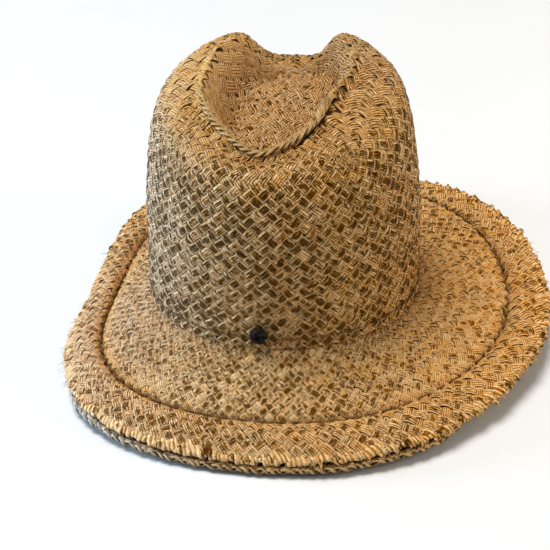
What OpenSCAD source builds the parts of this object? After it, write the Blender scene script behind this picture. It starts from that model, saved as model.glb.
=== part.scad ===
// Plaited palm-straw hat with a teardrop dent in the crown and a shaped brim of two plies.
// The origin is the middle of the head opening. The front faces -Y, the wearer's left is +X and Z is up.

/* [Head opening] */
// Width of the head opening inside the sweatband
head_width = 164; // [150:1:185]
// Length of the head opening inside the sweatband
head_length = 200; // [185:1:220]
// How much higher the head line is at the front than at the sides
head_line_rise = 16; // [4:1:20]

/* [Straw] */
// Thickness of one plaited ply
ply = 1.6; // [1.2:0.1:2.4]
// Clearance between pieces that lie against each other
gap = 0.3; // [0.2:0.05:0.5]

/* [Crown] */
// Height of the crest at the front, above the middle of the head line
crest_front_h = 126; // [105:1:145]
// Height of the crest at the back, above the middle of the head line
crest_back_h = 144; // [115:1:160]
// Extra height of the crest along the two sides
crest_side_lift = 13; // [4:0.5:16]
// How far the wall leans in on its way up to the shoulder
wall_lean = 4; // [1:0.5:8]
// Width of the rounded shoulder at the top of the wall
shoulder_w = 30; // [26:1:34]
// From the wall to the crest, at the sides
crest_side_inset = 42; // [38:1:46]
// From the wall to the crest, at the front
crest_front_inset = 36; // [34:1:42]
// From the wall to the crest, at the back
crest_back_inset = 30; // [26:1:36]
// How far the crest leans to the wearer's right of the middle
crest_shift = 2; // [0:0.5:5]
// How far the crest's rolled lip stands above the crease outside it
lip_h = 2.5; // [0:0.5:4]
// Width of that lip
lip_w = 6; // [4:0.5:7]
// Depth of the dent below the crest
dent_depth = 20; // [10:1:28]
// Width of the dent's sloping side, from the crest to its groove
dent_side_w = 15; // [12:1:18]
// Rise of the dent's floor at its middle above its groove
floor_dome = 7; // [0:1:12]
// Depth of the notch in the back of the crest
notch_depth = 24; // [0:1:32]
// Width of that notch
notch_w = 51; // [40:1:80]
// How far the notch lies to the wearer's right of the middle
notch_shift = 6; // [0:0.5:10]

/* [Brim] */
// Each place has: reach of the groove, width of the margin, drop of the groove, drop of the edge
// Left side of the wearer, towards +X
brim_left = [60, 26, 10, 13]; // [5:1:80]
// Back left
brim_back_left = [60, 26, 5, 7]; // [5:1:80]
// Back
brim_back = [52, 25, 12, 22]; // [5:1:80]
// Back right
brim_back_right = [42, 24, 8, 9]; // [5:1:80]
// Right side of the wearer
brim_right = [29, 19, 19, 23]; // [5:1:80]
// Front right
brim_front_right = [42, 27, 12, 21]; // [5:1:80]
// Front
brim_front = [36, 24, 10, 23]; // [5:1:80]
// Front left
brim_front_left = [47, 26, 10, 19]; // [5:1:80]
// Depth of the groove
groove_depth = 2.4; // [0.5:0.1:4]
// Width of the groove
groove_w = 10; // [6:0.5:14]
// How far the margin swells above a straight line from the groove to the edge
margin_puff = 3; // [0:0.5:6]
// Height of the collar that stands inside the crown
collar_h = 14; // [8:1:22]
// How far the lower ply's edge stays inside the upper one's
under_inset = 3; // [0:0.5:6]
// Clear gap between the two plies at the edge
edge_gap = 3.5; // [1:0.5:7]

/* [Edge braid] */
// Width of the braid along the lower ply's edge
braid_w = 5; // [3:0.5:7]
// Height of the braid
braid_h = 4; // [3:0.5:6]

/* [Sweatband] */
// Height of the sweatband
sweatband_h = 32; // [22:1:42]
// Thickness of the sweatband
sweatband_t = 1.3; // [0.8:0.1:2]
// Width of the tape over the sweatband's join at the back
join_w = 14; // [8:1:24]
// Thickness of that tape
join_t = 0.7; // [0.5:0.1:1.2]

/* [Stitches] */
// Thickness of the sewing thread
thread_d = 0.9; // [0.6:0.1:1.4]
// Length of one stitch
stitch_l = 6; // [3:0.5:7]
// Stitches along the groove
groove_stitches_n = 72; // [40:1:90]
// Stitches round the foot of the crown
crown_stitches_n = 60; // [40:1:80]
// Stitches round the sweatband
sweatband_stitches_n = 60; // [40:1:80]
// Height of the crown's stitches above the head line
crown_stitch_h = 6; // [4:0.5:12]
// Height of the sweatband's stitches above the head line
sweatband_stitch_h = 5; // [3:0.5:12]

/* [Cord knot] */
// Diameter of the knot on the front of the crown
knot_d = 11.5; // [7:0.5:15]
// How far the knot stands out from the crown
knot_t = 6; // [4:0.5:9]
// Height of the knot's middle above the head line
knot_h = 10; // [8:0.5:30]
// Where the knot sits round the crown, in degrees from +X
knot_angle = 270; // [225:1:315]

/* [Hidden] */

// Places round the hat in one ring of the shells
around = 60;
// Steps of the smooth curve between two rings of the crown, above its nearly straight lowest rings
crown_steps = 3;
straight_rings = 2;
// Semi-axes of the sweatband's inner face, its outer face, the collar and the crown's outer wall
band_out = sweatband_t;
collar_in = band_out + gap;
collar_out = collar_in + ply;
wall_out = collar_out + gap + ply;
wall_a = head_width / 2 + wall_out;
wall_b = head_length / 2 + wall_out;
// The brim's inner corner lies this far under the crown's mouth
corner_r = 1.2;
mouth_drop = corner_r - sqrt(corner_r * corner_r - pow(corner_r - gap, 2)) + gap;
collar_r = collar_out - wall_out;
// How far the crest lies in front of the middle and behind it
crest_front_y = wall_b - crest_front_inset;
crest_back_y = wall_b - crest_back_inset;
brim_places = [brim_left, brim_back_left, brim_back, brim_back_right,
    brim_right, brim_front_right, brim_front, brim_front_left];
straw = [0.68, 0.53, 0.33];
dark_straw = [0.46, 0.39, 0.29];
thread = [0.55, 0.43, 0.27];
cotton = [0.27, 0.22, 0.17];
black = [0.10, 0.08, 0.06];

// Smooth curve through four values, at t from b to c
function smooth(a, b, c, d, t) =
    b + 0.5 * t * ((c - a) + t * ((2 * a - 5 * b + 4 * c - d) + t * (3 * (b - c) + d - a)));

// Smooth value round the hat of entry k of the eight brim places
function brim_value(angle, k) =
    let (n = len(brim_places), u = angle * n / 360, i = floor(u))
    smooth(brim_places[(i + n - 1) % n][k], brim_places[i % n][k],
        brim_places[(i + 1) % n][k], brim_places[(i + 2) % n][k], u - i);

// Height of the head line, which rises towards the front
function head_z(y) = -head_line_rise * y / wall_b;

// Height of the crest's plane, which rises towards the back
function crest_z(y) = crest_front_h
    + (crest_back_h - crest_front_h) * (y + crest_front_y) / (crest_front_y + crest_back_y);

function signed_pow(v, p) = sign(v) * pow(abs(v), p);

// Depth of the notch behind the crown's middle
function notch_z(x, y) = notch_depth * exp(-pow(2 * (x + notch_shift) / notch_w, 4))
    * pow(min(1, max(0, y / (0.75 * crest_back_y))), 2);

// Rings of the crown: insets at side, front and back, share of the height, sinks at front, side
// and back, share of the notch, and the powers of the plan's oval at front and back
crown_rings = let (
        s = crest_side_inset, f = crest_front_inset, b = crest_back_inset, w = shoulder_w,
        lift = crest_side_lift, rise = 0.4 * crest_side_lift, d = dent_depth)
    [
        [0, 0, 0, 0, 0, 0, 0, 0, 2, 2],
        [0, 0, 0, 0.22, 0, 0, 0, 0, 2, 2],
        [0.2 * wall_lean, 0.2 * wall_lean, 0.2 * wall_lean, 0.48, 0, 0, 0, 0, 2, 2],
        [wall_lean, wall_lean, wall_lean, 0.73, 0, 0, 0, 0.05, 2, 2],
        [w / 3, w / 3, w / 3, 0.9, 0, -rise, 0, 0.55, 2, 2],
        [0.67 * w, 0.67 * w, 0.67 * w, 0.985, 0, -rise, 0, 1, 1.95, 2.1],
        [s - lip_w, f - lip_w, b - lip_w, 1, lip_h, 2 * lip_h - lift, 0, 1, 1.65, 2.3],
        [s, f, b, 1, 0, -lift, 0, 1, 1.55, 2.4],
        [s + lip_w, f + lip_w, b + lip_w, 1, 0.3 * d, 0.3 * d - lift, 0, 1, 1.55, 2.3],
        [s + dent_side_w, f + dent_side_w, b + dent_side_w, 1, 0.85 * d, d - lift / 2, 0.1 * d, 1, 1.6, 2.2],
        [0.75 * wall_a, 0.71 * wall_b, 0.65 * wall_b, 1, 0.85 * d - 0.3 * floor_dome,
            d - 0.5 * floor_dome, 0.2 * d, 0.9, 2, 2]
    ];
dent_middle = [-crest_shift, 4, crest_z(4) - dent_depth + floor_dome];

// Point of ring k of the crown
function crown_ring_point(k, angle) =
    k >= len(crown_rings) ? dent_middle :
    let (
        r = crown_rings[k], c = cos(angle), s = sin(angle),
        power = 2 / (r[8] + (r[9] - r[8]) * (s + 1) / 2),
        x = (wall_a - r[0]) * signed_pow(c, power) - crest_shift * r[3] * r[3],
        y = (wall_b - (s > 0 ? r[2] : r[1])) * signed_pow(s, power),
        sink = (s > 0 ? r[6] : r[4]) * s * s + r[5] * c * c
    )
    [x, y, head_z(y) + (crest_z(y) - head_z(y)) * r[3] - sink - r[7] * notch_z(x, y)];

// Outer face of the crown as rows of points, from its mouth to the ring round the dent's middle
crown_rows = let (last = len(crown_rings))
    [for (k = [0 : last - 1], steps = [k < straight_rings ? 1 : crown_steps], i = [0 : steps - 1])
        [for (j = [0 : around - 1])
            let (
                angle = 360 * j / around,
                b = crown_ring_point(k, angle), c = crown_ring_point(k + 1, angle),
                a = k > 0 ? crown_ring_point(k - 1, angle) : 2 * b - c,
                d = k < last - 1 ? crown_ring_point(k + 2, angle) : 2 * c - b
            )
            smooth(a, b, c, d, i / steps)]];

// Plan point at a reach outside the crown's wall
function plan(angle, reach, z) = [(wall_a + reach) * cos(angle), (wall_b + reach) * sin(angle), z];

// Height of the brim's inner corner
function corner_z(angle) = head_z(wall_b * sin(angle)) - mouth_drop;

// Height of the brim's upper face at share u of the way from the crown to the groove
function slope_z(angle, u) =
    let (z0 = corner_z(angle), z1 = -brim_value(angle, 2))
    z0 + (z1 - z0) * (0.82 * u + 0.18 * u * u);

// Upper face of the margin at share v of the way from the groove to the edge
function margin_point(angle, v, more_reach, drop) =
    let (
        g = brim_value(angle, 0), m = brim_value(angle, 1),
        z0 = -brim_value(angle, 2), z1 = -brim_value(angle, 3)
    )
    plan(angle, g + m * v + more_reach,
        z0 + (z1 - z0) * v + margin_puff * 4 * v * (1 - v) - drop);

// The upper ply's rows run from its edge in to the groove, along the slope and up the collar
margin_shares = [1, 0.86, 0.66, 0.42];
slope_shares = [0.72, 0.46, 0.22, 0.08];
function brim_top_row(angle) =
    let (g = brim_value(angle, 0), h = groove_w / 2, m = brim_value(angle, 1), z0 = corner_z(angle))
    concat(
        [for (v = margin_shares) margin_point(angle, v, 0, 0)],
        [margin_point(angle, min(0.35, h / m), 0, 0),
            plan(angle, g, -brim_value(angle, 2) - groove_depth),
            plan(angle, g - h, slope_z(angle, (g - h) / g))],
        [for (u = slope_shares) plan(angle, u * (g - h), slope_z(angle, u * (g - h) / g))],
        [for (a = [90, 45, 0])
            plan(angle, collar_r + corner_r * (1 - cos(a)), z0 + corner_r * (1 - sin(a)))],
        [plan(angle, collar_r, head_z(wall_b * sin(angle)) + collar_h)]);

// The lower ply lies under the upper one as far as the groove, and parts from it at the edge
function brim_under_row(angle) =
    let (g = brim_value(angle, 0), h = groove_w / 2, under = ply + 2 * gap)
    concat(
        [for (v = margin_shares)
            margin_point(angle, v, -under_inset * v, under + edge_gap * v * v + margin_puff * 2 * v * (1 - v))],
        [plan(angle, g, -brim_value(angle, 2) - groove_depth - under),
            plan(angle, g - h, slope_z(angle, (g - h) / g) - under)],
        [for (u = slope_shares) plan(angle, u * (g - h), slope_z(angle, u * (g - h) / g) - under)]);

function transposed(m) = [for (i = [0 : len(m[0]) - 1]) [for (r = m) r[i]]];
brim_top_rows = transposed([for (j = [0 : around - 1]) brim_top_row(360 * j / around)]);
brim_under_rows = transposed([for (j = [0 : around - 1]) brim_under_row(360 * j / around)]);

// Unit normal of a net of points, towards the outer or upper face
function net_normal(net, i, j) =
    let (
        n = len(net), m = len(net[0]),
        round_step = net[i][(j + 1) % m] - net[i][(j + m - 1) % m],
        row_step = net[min(n - 1, i + 1)][j] - net[max(0, i - 1)][j],
        v = cross(round_step, row_step)
    )
    v / norm(v);

// Closed shell of thickness t behind a net of points, open at its last row or ended by a pole
module shell(net, t, pole = undef) {
    n = len(net);
    m = len(net[0]);
    inner = [for (i = [0 : n - 1]) [for (j = [0 : m - 1]) net[i][j] - t * net_normal(net, i, j)]];
    tips = is_undef(pole) ? [] : [pole, pole - [0, 0, t]];
    points = concat([for (r = net) each r], [for (r = inner) each r], tips);
    back = n * m;
    tip = 2 * n * m;
    faces = concat(
        [for (i = [0 : n - 2], j = [0 : m - 1])
            let (a = i * m + j, b = i * m + (j + 1) % m)
            each [[a, a + m, b + m], [a, b + m, b],
                [back + a, back + b + m, back + a + m], [back + a, back + b, back + b + m]]],
        [for (j = [0 : m - 1])
            let (k = (j + 1) % m)
            each [[j, k, back + k], [j, back + k, back + j]]],
        [for (j = [0 : m - 1])
            let (a = (n - 1) * m + j, b = (n - 1) * m + (j + 1) % m)
            each is_undef(pole)
                ? [[a, back + b, b], [a, back + a, back + b]]
                : [[a, tip, b], [back + a, back + b, tip + 1]]]);
    polyhedron(points, faces, convexity = 10);
}

// One stitch: a straight thread centred at a point, along a direction
module stitch(at, along) {
    translate(at)
        rotate([0, acos(along[2] / norm(along)), atan2(along[1], along[0])])
            cylinder(h = stitch_l, d = thread_d, center = true, $fn = 24);
}

// Point on an upright oval wall and its outward direction
function wall_point(angle, out, height) =
    let (y = wall_b * sin(angle))
    [(wall_a + out) * cos(angle), (wall_b + out) * sin(angle), head_z(y) + height];
function wall_way(angle) =
    let (v = [cos(angle) / wall_a, sin(angle) / wall_b, 0]) v / norm(v);

module crown() {
    color(straw) shell(crown_rows, ply, dent_middle);
}

module brim_top_ply() {
    color(straw) shell(brim_top_rows, ply);
}

module brim_under_ply() {
    color(dark_straw) shell(brim_under_rows, ply);
}

// Oval braid that follows the lower ply's edge, just outside it
module edge_braid() {
    sides = 6;
    edge = brim_under_rows[0];
    net = [for (k = [0 : sides - 1])
        [for (j = [0 : around - 1])
            let (
                angle = 360 * j / around,
                way = [cos(angle), sin(angle), 0],
                turn = 360 * k / sides
            )
            edge[j] + way * (gap + braid_w / 2 * (1 - cos(turn)))
                + [0, 0, braid_h / 2 * sin(turn) - ply / 2]]];
    points = [for (r = net) each r];
    faces = [for (k = [0 : sides - 1], j = [0 : around - 1])
        let (
            next = (j + 1) % around, up = (k + 1) % sides,
            a = k * around + j, b = k * around + next, c = up * around + next, d = up * around + j
        )
        each [[a, b, c], [a, c, d]]];
    color(dark_straw) polyhedron(points, faces, convexity = 10);
}

module crown_stitches() {
    color(thread)
        for (j = [0 : crown_stitches_n - 1]) {
            angle = 360 * (j + 0.5) / crown_stitches_n;
            way = wall_way(angle);
            at = wall_point(angle, gap + thread_d / 2, crown_stitch_h);
            // The knot covers the stitches behind it
            if (norm(at - wall_point(knot_angle, 0, knot_h)) > (knot_d + stitch_l) / 2 + thread_d)
                stitch(at, [-way[1], way[0], 0]);
        }
}

module groove_stitches() {
    color(thread)
        for (j = [0 : groove_stitches_n - 1]) {
            angle = 360 * (j + 0.5) / groove_stitches_n;
            here = plan(angle, brim_value(angle, 0), -brim_value(angle, 2));
            next = plan(angle + 1, brim_value(angle + 1, 0), -brim_value(angle + 1, 2));
            stitch(here + [0, 0, 2 * gap + thread_d / 2 - groove_depth], next - here);
        }
}

// Band of cloth round the head, inside the collar
module sweatband() {
    net = [for (h = [0, sweatband_h / 2, sweatband_h])
        [for (j = [0 : around - 1])
            wall_point(360 * j / around, band_out - wall_out, h)]];
    color(cotton) shell(net, sweatband_t);
}

module sweatband_stitches() {
    color(thread)
        for (j = [0 : sweatband_stitches_n - 1]) {
            angle = 360 * (j + 0.5) / sweatband_stitches_n;
            way = wall_way(angle);
            // The join's tape covers the stitches at the back
            at = wall_point(angle, -wall_out - gap - thread_d / 2, sweatband_stitch_h);
            if (at[1] < 0 || abs(at[0]) > (join_w + stitch_l) / 2 + thread_d)
                stitch(at, [-way[1], way[0], 0]);
        }
}

// Short tape sewn over the ends of the sweatband at the back
module sweatband_join() {
    depth = head_length / 2 - gap - join_t;
    color(cotton)
        translate([-join_w / 2, depth - pow(join_w / 2, 2) * head_length / (head_width * head_width), 0])
            translate([0, 0, head_z(wall_b) + gap])
                cube([join_w, join_t, sweatband_h - 2 * gap]);
}

// Round knot lying on a wall, with a dimple where its cord goes in
module knot(d, t) {
    rotate_extrude($fn = 48)
        difference() {
            union() {
                translate([d / 4, t / 2]) circle(d = min(t, d / 2), $fn = 32);
                square([d / 4, t]);
            }
            translate([0, t + d / 8]) circle(d = d / 3, $fn = 32);
            translate([-d, -t]) square([d, 3 * t]);
        }
}

module front_knot() {
    way = wall_way(knot_angle);
    color(black)
        translate(wall_point(knot_angle, 0, knot_h) + gap * way)
            rotate([0, 90, atan2(way[1], way[0])])
                knot(knot_d, knot_t);
}

crown();
brim_top_ply();
brim_under_ply();
edge_braid();
crown_stitches();
groove_stitches();
sweatband();
sweatband_stitches();
sweatband_join();
front_knot();
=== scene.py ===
"""Dresses a plaited palm-straw hat.

Real strands are woven over the crown and over both plies of the brim. The brim gets its folded
edge, its frayed ends and its three-strand braid, the head opening its ribbed band, and the crown's
foot its cord knot. Shapes are worked out in millimetres and become metres when a mesh is made.
"""

import logging
import math
from dataclasses import dataclass, field
from enum import Enum
from typing import Callable, Dict, List, Optional, Sequence, Tuple, Union

import bpy
import numpy as np
from mathutils import Matrix, Vector


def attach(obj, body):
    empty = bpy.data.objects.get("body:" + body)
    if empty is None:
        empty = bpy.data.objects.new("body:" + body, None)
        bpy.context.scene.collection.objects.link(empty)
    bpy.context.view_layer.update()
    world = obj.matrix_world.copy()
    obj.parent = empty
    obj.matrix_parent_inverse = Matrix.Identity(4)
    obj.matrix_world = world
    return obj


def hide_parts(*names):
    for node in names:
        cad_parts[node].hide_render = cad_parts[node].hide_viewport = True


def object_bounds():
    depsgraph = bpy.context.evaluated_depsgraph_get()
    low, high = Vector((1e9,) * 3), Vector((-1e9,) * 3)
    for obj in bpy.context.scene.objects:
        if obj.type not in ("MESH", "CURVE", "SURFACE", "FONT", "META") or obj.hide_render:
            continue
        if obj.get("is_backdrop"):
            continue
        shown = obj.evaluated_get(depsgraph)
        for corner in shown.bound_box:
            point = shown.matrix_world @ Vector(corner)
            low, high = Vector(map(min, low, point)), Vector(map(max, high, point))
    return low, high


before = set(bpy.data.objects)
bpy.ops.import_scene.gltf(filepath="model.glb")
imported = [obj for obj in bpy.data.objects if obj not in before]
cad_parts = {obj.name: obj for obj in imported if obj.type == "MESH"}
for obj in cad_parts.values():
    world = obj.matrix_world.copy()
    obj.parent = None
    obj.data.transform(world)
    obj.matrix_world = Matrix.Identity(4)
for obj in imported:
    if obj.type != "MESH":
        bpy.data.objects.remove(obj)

Array = np.ndarray
Colour = Tuple[float, float, float]
TURN = 2.0 * math.pi
MM = 0.001
STRAND_LAY = 1000.0  # step from strand to strand in the map, in millimetres
log = logging.getLogger("straw_hat")


def srgb(red: int, green: int, blue: int) -> Colour:
    """Linear colour of an sRGB triple from 0 to 255."""
    parts = [c / 255.0 for c in (red, green, blue)]
    return tuple(c / 12.92 if c < 0.04045 else ((c + 0.055) / 1.055) ** 2.4 for c in parts)


def smooth(a: Array, b: Array, c: Array, d: Array, t: Array) -> Array:
    """Smooth cubic curve through four values, at share t of the way from b to c."""
    return b + 0.5 * t * ((c - a) + t * ((2 * a - 5 * b + 4 * c - d) + t * (3 * (b - c) + d - a)))


def bell(angle: Array, degrees: float, width: float) -> Array:
    """Bell round the hat: 1 at an angle, falling off over a width, both in degrees.

    Angles run from the wearer's left at 0 over the back at 90 and the right at 180 to the front
    at 270.

    Args:
        angle: Angles round the hat, in radians.
        degrees: Middle of the bell.
        width: Distance from the middle at which it has fallen to 1 / e.

    Returns:
        Shares from 0 to 1, shaped like angle.
    """
    away = np.mod(angle - math.radians(degrees) + math.pi, TURN) - math.pi
    return np.exp(-(away / math.radians(width)) ** 2)


def ease(low: float, high: float, x: Array) -> Array:
    """Smooth step from 0 at low to 1 at high."""
    t = np.clip((x - low) / (high - low), 0.0, 1.0)
    return t * t * (3.0 - 2.0 * t)


def unit(v: Array) -> Array:
    """Vectors scaled to length one along their last axis."""
    return v / np.maximum(np.linalg.norm(v, axis=-1, keepdims=True), 1e-9)


def lengths(points: Array) -> Array:
    """Distance along each row of points from the row's start."""
    step = np.linalg.norm(np.diff(points, axis=1), axis=-1)
    return np.concatenate([np.zeros((len(points), 1)), np.cumsum(step, axis=1)], axis=1)


def laid(along: Array) -> Array:
    """Places along strands for the map, where each strand starts a step after the one before."""
    return along + STRAND_LAY * np.arange(len(along))[:, None]


def with_steps(surface: Callable[[Array, Array], Array], a: Array, b: Array,
               e: float) -> Tuple[Array, Array, Array]:
    """Points of a surface with their changes by both coordinates, from central differences.

    Args:
        surface: Gives points at two coordinates.
        a: First coordinate.
        b: Second coordinate, shaped alike.
        e: Step of the differences.

    Returns:
        Points, change by the first coordinate and change by the second.
    """
    by_a = (surface(a + e, b) - surface(a - e, b)) / (2 * e)
    by_b = (surface(a, b + e) - surface(a, b - e)) / (2 * e)
    return surface(a, b), by_a, by_b


def waves(rng: np.random.Generator, rows: int, x: Array, period: float, count: int = 4) -> Array:
    """Smooth noise along each row, as a sum of sines of random phase and nearby periods.

    Args:
        rng: Seeded generator.
        rows: Number of rows.
        x: Place along the rows, shaped (rows, steps).
        period: Mean period, in the units of x.
        count: Number of sines.

    Returns:
        Noise of about unit size, shaped like x.
    """
    total = np.zeros(x.shape)
    for _ in range(count):
        phase = rng.uniform(0.0, TURN, (rows, 1))
        share = rng.uniform(0.6, 1.7, (rows, 1))
        total += np.sin(TURN * x / (period * share) + phase)
    return total / math.sqrt(0.5 * count)


Value = Union["Sock", float, int, Sequence[float]]


class Sock:
    """A node's output; arithmetic on it adds Math nodes to its graph."""

    def __init__(self, graph: "Graph", socket: bpy.types.NodeSocket) -> None:
        """Keeps the graph and the output socket."""
        self.graph = graph
        self.socket = socket

    def math(self, operation: str, *values: Value) -> "Sock":
        """Adds one Math node.

        Args:
            operation: The Math node's operation.
            values: Its operands in order.

        Returns:
            The node's value.
        """
        return self.graph.node("ShaderNodeMath", {"operation": operation}, dict(enumerate(values)))

    def __add__(self, other: Value) -> "Sock":
        """Sum."""
        return self.math("ADD", self, other)

    def __radd__(self, other: Value) -> "Sock":
        """Reflected sum."""
        return self.math("ADD", other, self)

    def __sub__(self, other: Value) -> "Sock":
        """Difference."""
        return self.math("SUBTRACT", self, other)

    def __rsub__(self, other: Value) -> "Sock":
        """Reflected difference."""
        return self.math("SUBTRACT", other, self)

    def __mul__(self, other: Value) -> "Sock":
        """Product."""
        return self.math("MULTIPLY", self, other)

    def __rmul__(self, other: Value) -> "Sock":
        """Reflected product."""
        return self.math("MULTIPLY", other, self)

    def __abs__(self) -> "Sock":
        """Absolute value."""
        return self.math("ABSOLUTE", self)

    def sine(self) -> "Sock":
        """Sine of an angle in radians."""
        return self.math("SINE", self)

    def step(self, low: float, high: float) -> "Sock":
        """Smooth step from 0 at low to 1 at high."""
        return self.graph.node(
            "ShaderNodeMapRange", {"interpolation_type": "SMOOTHSTEP"},
            {"Value": self, "From Min": low, "From Max": high})


class Graph:
    """Builds one material's node tree."""

    def __init__(self, name: str) -> None:
        """Starts a material with an empty tree.

        Args:
            name: The material's name.
        """
        self.material = bpy.data.materials.new(name)
        self.material.use_nodes = True
        self.tree = self.material.node_tree
        self.tree.nodes.clear()

    def node(self, kind: str, settings: Dict[str, object], inputs: Dict[Union[str, int], Value],
             output: Union[str, int] = 0) -> Sock:
        """Adds any node.

        Args:
            kind: The node's type.
            settings: Its settings, which are set first.
            inputs: Values or links of its sockets, by name or place.
            output: The output that is returned.

        Returns:
            The chosen output.
        """
        made = self.tree.nodes.new(kind)
        for key, value in settings.items():
            setattr(made, key, value)
        for key, value in inputs.items():
            target = made.inputs[key]
            if isinstance(value, Sock):
                self.tree.links.new(value.socket, target)
            elif target.type == "RGBA" and len(value) == 3:
                target.default_value = (*value, 1.0)
            else:
                target.default_value = value
        return Sock(self, made.outputs[output])

    def mix(self, share: Value, a: Value, b: Value, blend: str = "MIX") -> Sock:
        """Mixes two colours by a share."""
        return self.node("ShaderNodeMix", {"data_type": "RGBA", "blend_type": blend},
                         {0: share, 6: a, 7: b}, 2)

    def attribute(self, name: str) -> Sock:
        """Reads a number that is stored on the piece's points."""
        return self.node("ShaderNodeAttribute", {"attribute_name": name}, {}, "Fac")

    def uv(self) -> Tuple[Sock, Sock]:
        """Reads the piece's own map.

        Returns:
            Its two coordinates.
        """
        both = self.node("ShaderNodeUVMap", {"uv_map": "lay"}, {})
        parts = self.node("ShaderNodeSeparateXYZ", {}, {0: both})
        return parts, Sock(self, parts.socket.node.outputs[1])

    def vector(self, x: Value, y: Value, z: Value = 0.0) -> Sock:
        """Joins three values to a vector."""
        return self.node("ShaderNodeCombineXYZ", {}, {0: x, 1: y, 2: z})

    def noise(self, at: Sock, scale: float, detail: float = 2.0, rough: float = 0.5) -> Sock:
        """Noise from 0 to 1 at a vector."""
        return self.node("ShaderNodeTexNoise", {},
                         {"Vector": at, "Scale": scale, "Detail": detail, "Roughness": rough})

    def place(self) -> Sock:
        """The piece's own coordinates, in metres."""
        return self.node("ShaderNodeTexCoord", {}, {}, "Object")

    def surface(self, colour: Value, rough: Value, height: Optional[Sock] = None, depth: float = 0.0002,
                sheen: float = 0.0, specular: float = 0.4, gloss: Value = 0.0) -> bpy.types.Material:
        """Ends the tree in a Principled shader.

        Args:
            colour: Base colour.
            rough: Roughness.
            height: Relief from 0 to 1, or none.
            depth: Size of the relief in metres.
            sheen: Weight of a soft cloth sheen.
            specular: Specular level.
            gloss: Weight of a satin coat.

        Returns:
            The finished material.
        """
        inputs: Dict[Union[str, int], Value] = {
            "Base Color": colour, "Roughness": rough, "Sheen Weight": sheen,
            "Specular IOR Level": specular, "Coat Weight": gloss, "Coat Roughness": 0.4}
        if height is not None:
            inputs["Normal"] = self.node(
                "ShaderNodeBump", {}, {"Strength": 1.0, "Distance": depth, "Height": height})
        shader = self.node("ShaderNodeBsdfPrincipled", {}, inputs)
        end = self.tree.nodes.new("ShaderNodeOutputMaterial")
        self.tree.links.new(shader.socket, end.inputs["Surface"])
        return self.material


@dataclass(frozen=True)
class StrawFinish:
    """Plaited straw: striated strands with pale borders, partly painted highlight, and a dark stain rubbed on
    their backs.
    """

    name: str
    pale: Colour
    mid: Colour
    deep: Colour
    stain: Colour
    # Painted shade: the colour a strand darkens to where it passes under its neighbour.
    hollow: Colour
    gloss: float = 0.3
    stain_share: float = 0.95
    ribs: float = 4.0
    tint: Colour = (1.0, 0.82, 0.5)
    bare: float = 0.44
    bare_in_heavy: float = 0.2
    relief: float = 0.0004
    specular: float = 0.05

    def material(self) -> bpy.types.Material:
        """Reads the strand's map and its tone, stain, depth for painted shade, warmth, and greyness, which is
        partly weathering and partly painted cool sheen.

        Returns:
            The material.
        """
        g = Graph(self.name)
        along, across = g.uv()
        tone, stain, depth = g.attribute("tone"), g.attribute("stain"), g.attribute("depth")
        warm, grey = g.attribute("warm"), g.attribute("grey")
        side = abs(across * 2.0 - 1.0)
        fibre = g.noise(g.vector(along * 0.16, across * 5.0, tone * 17.0), 1.0, 3.0, 0.6)
        hair = g.noise(g.vector(along * 0.3, across * 15.0, tone * 29.0), 1.0, 2.0)
        blotch = g.noise(g.vector(along * 0.42, across * 1.6, tone * 11.0), 1.0, 4.0, 0.65)
        rib = ((across + (blotch - 0.5) * 0.12) * (TURN * self.ribs)).sine()
        furrow = 1.0 - rib.step(-0.95, 0.1)
        # Pale strand edges: partly paler straw and partly a painted highlight where the edges catch the
        # light.
        pale_edge_and_highlight = side.step(0.7, 0.92)
        patch, streak = blotch.step(0.36, 0.64), fibre.step(0.36, 0.64)
        colour = g.mix(streak, self.deep, self.mid)
        colour = g.mix((hair + rib * 0.12).step(0.44, 0.66) * 0.95, colour, self.pale)
        colour = g.mix((tone + 1.0) * 0.2, colour, self.pale)
        colour = g.mix(furrow * (1.15 - hair) * 0.62, colour, self.stain)
        rubbed = (stain - side * side * 1.2 + (streak - 0.5) * 1.2 + (patch - 0.5) * 1.0).step(0.05, 0.6)
        dark = g.mix(patch * 0.16, self.stain, self.deep)
        bare = self.bare + (self.bare_in_heavy - self.bare) * stain.step(0.85, 1.3)
        colour = g.mix(rubbed * (self.stain_share - hair.step(0.44, 0.66) * bare), colour, dark)
        # Painted highlight: the edges are mixed towards pale.
        colour = g.mix(pale_edge_and_highlight * 0.9, colour, g.mix(0.35, self.pale, self.mid))
        colour = g.mix(warm, colour, self.tint, "MULTIPLY")
        # Painted sheen: lighter colours lose saturation as under a white sheen, and the greyness, partly
        # painted cool sheen, takes more away.
        light = g.node("ShaderNodeRGBToBW", {}, {"Color": colour}).step(0.1, 0.6)
        colour = g.node("ShaderNodeHueSaturation", {},
                        {"Saturation": 1.14 - 0.26 * light - 0.75 * grey, "Color": colour})
        # Painted shade: low depth, where a strand passes under, darkens it towards the hollow colour.
        colour = g.mix((1.0 - depth.step(0.08, 0.7)) * 0.85, colour, self.hollow)
        height = fibre * 0.5 + hair * 0.55 + rib * 0.16
        gloss = (1.0 - rubbed) * depth.step(0.2, 0.8) * (self.gloss * 1.5 * hair.step(0.42, 0.68))
        return g.surface(colour, 0.55 + 0.25 * fibre, height, self.relief, 0.0, self.specular, gloss)


@dataclass(frozen=True)
class BackingFinish:
    """The plait's back, coloured dark as painted shade seen in the gaps between strands, with its crossings
    as a soft relief.
    """

    name: str
    light: Colour
    dark: Colour

    def material(self) -> bpy.types.Material:
        """Crossed sine waves on the piece's map show the strands.

        Returns:
            The material.
        """
        g = Graph(self.name)
        u, v = g.uv()
        over = (u * TURN).sine() * (v * TURN).sine()
        grain = g.noise(g.vector((u + v) * 3.0, (u - v) * 3.0), 1.0, 3.0)
        colour = g.mix((over * 0.5 + grain).step(0.1, 0.9), self.dark, self.light)
        return g.surface(colour, 0.8, over * 0.5 + 0.3 * grain, 0.0006, 0.0, 0.25)


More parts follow.
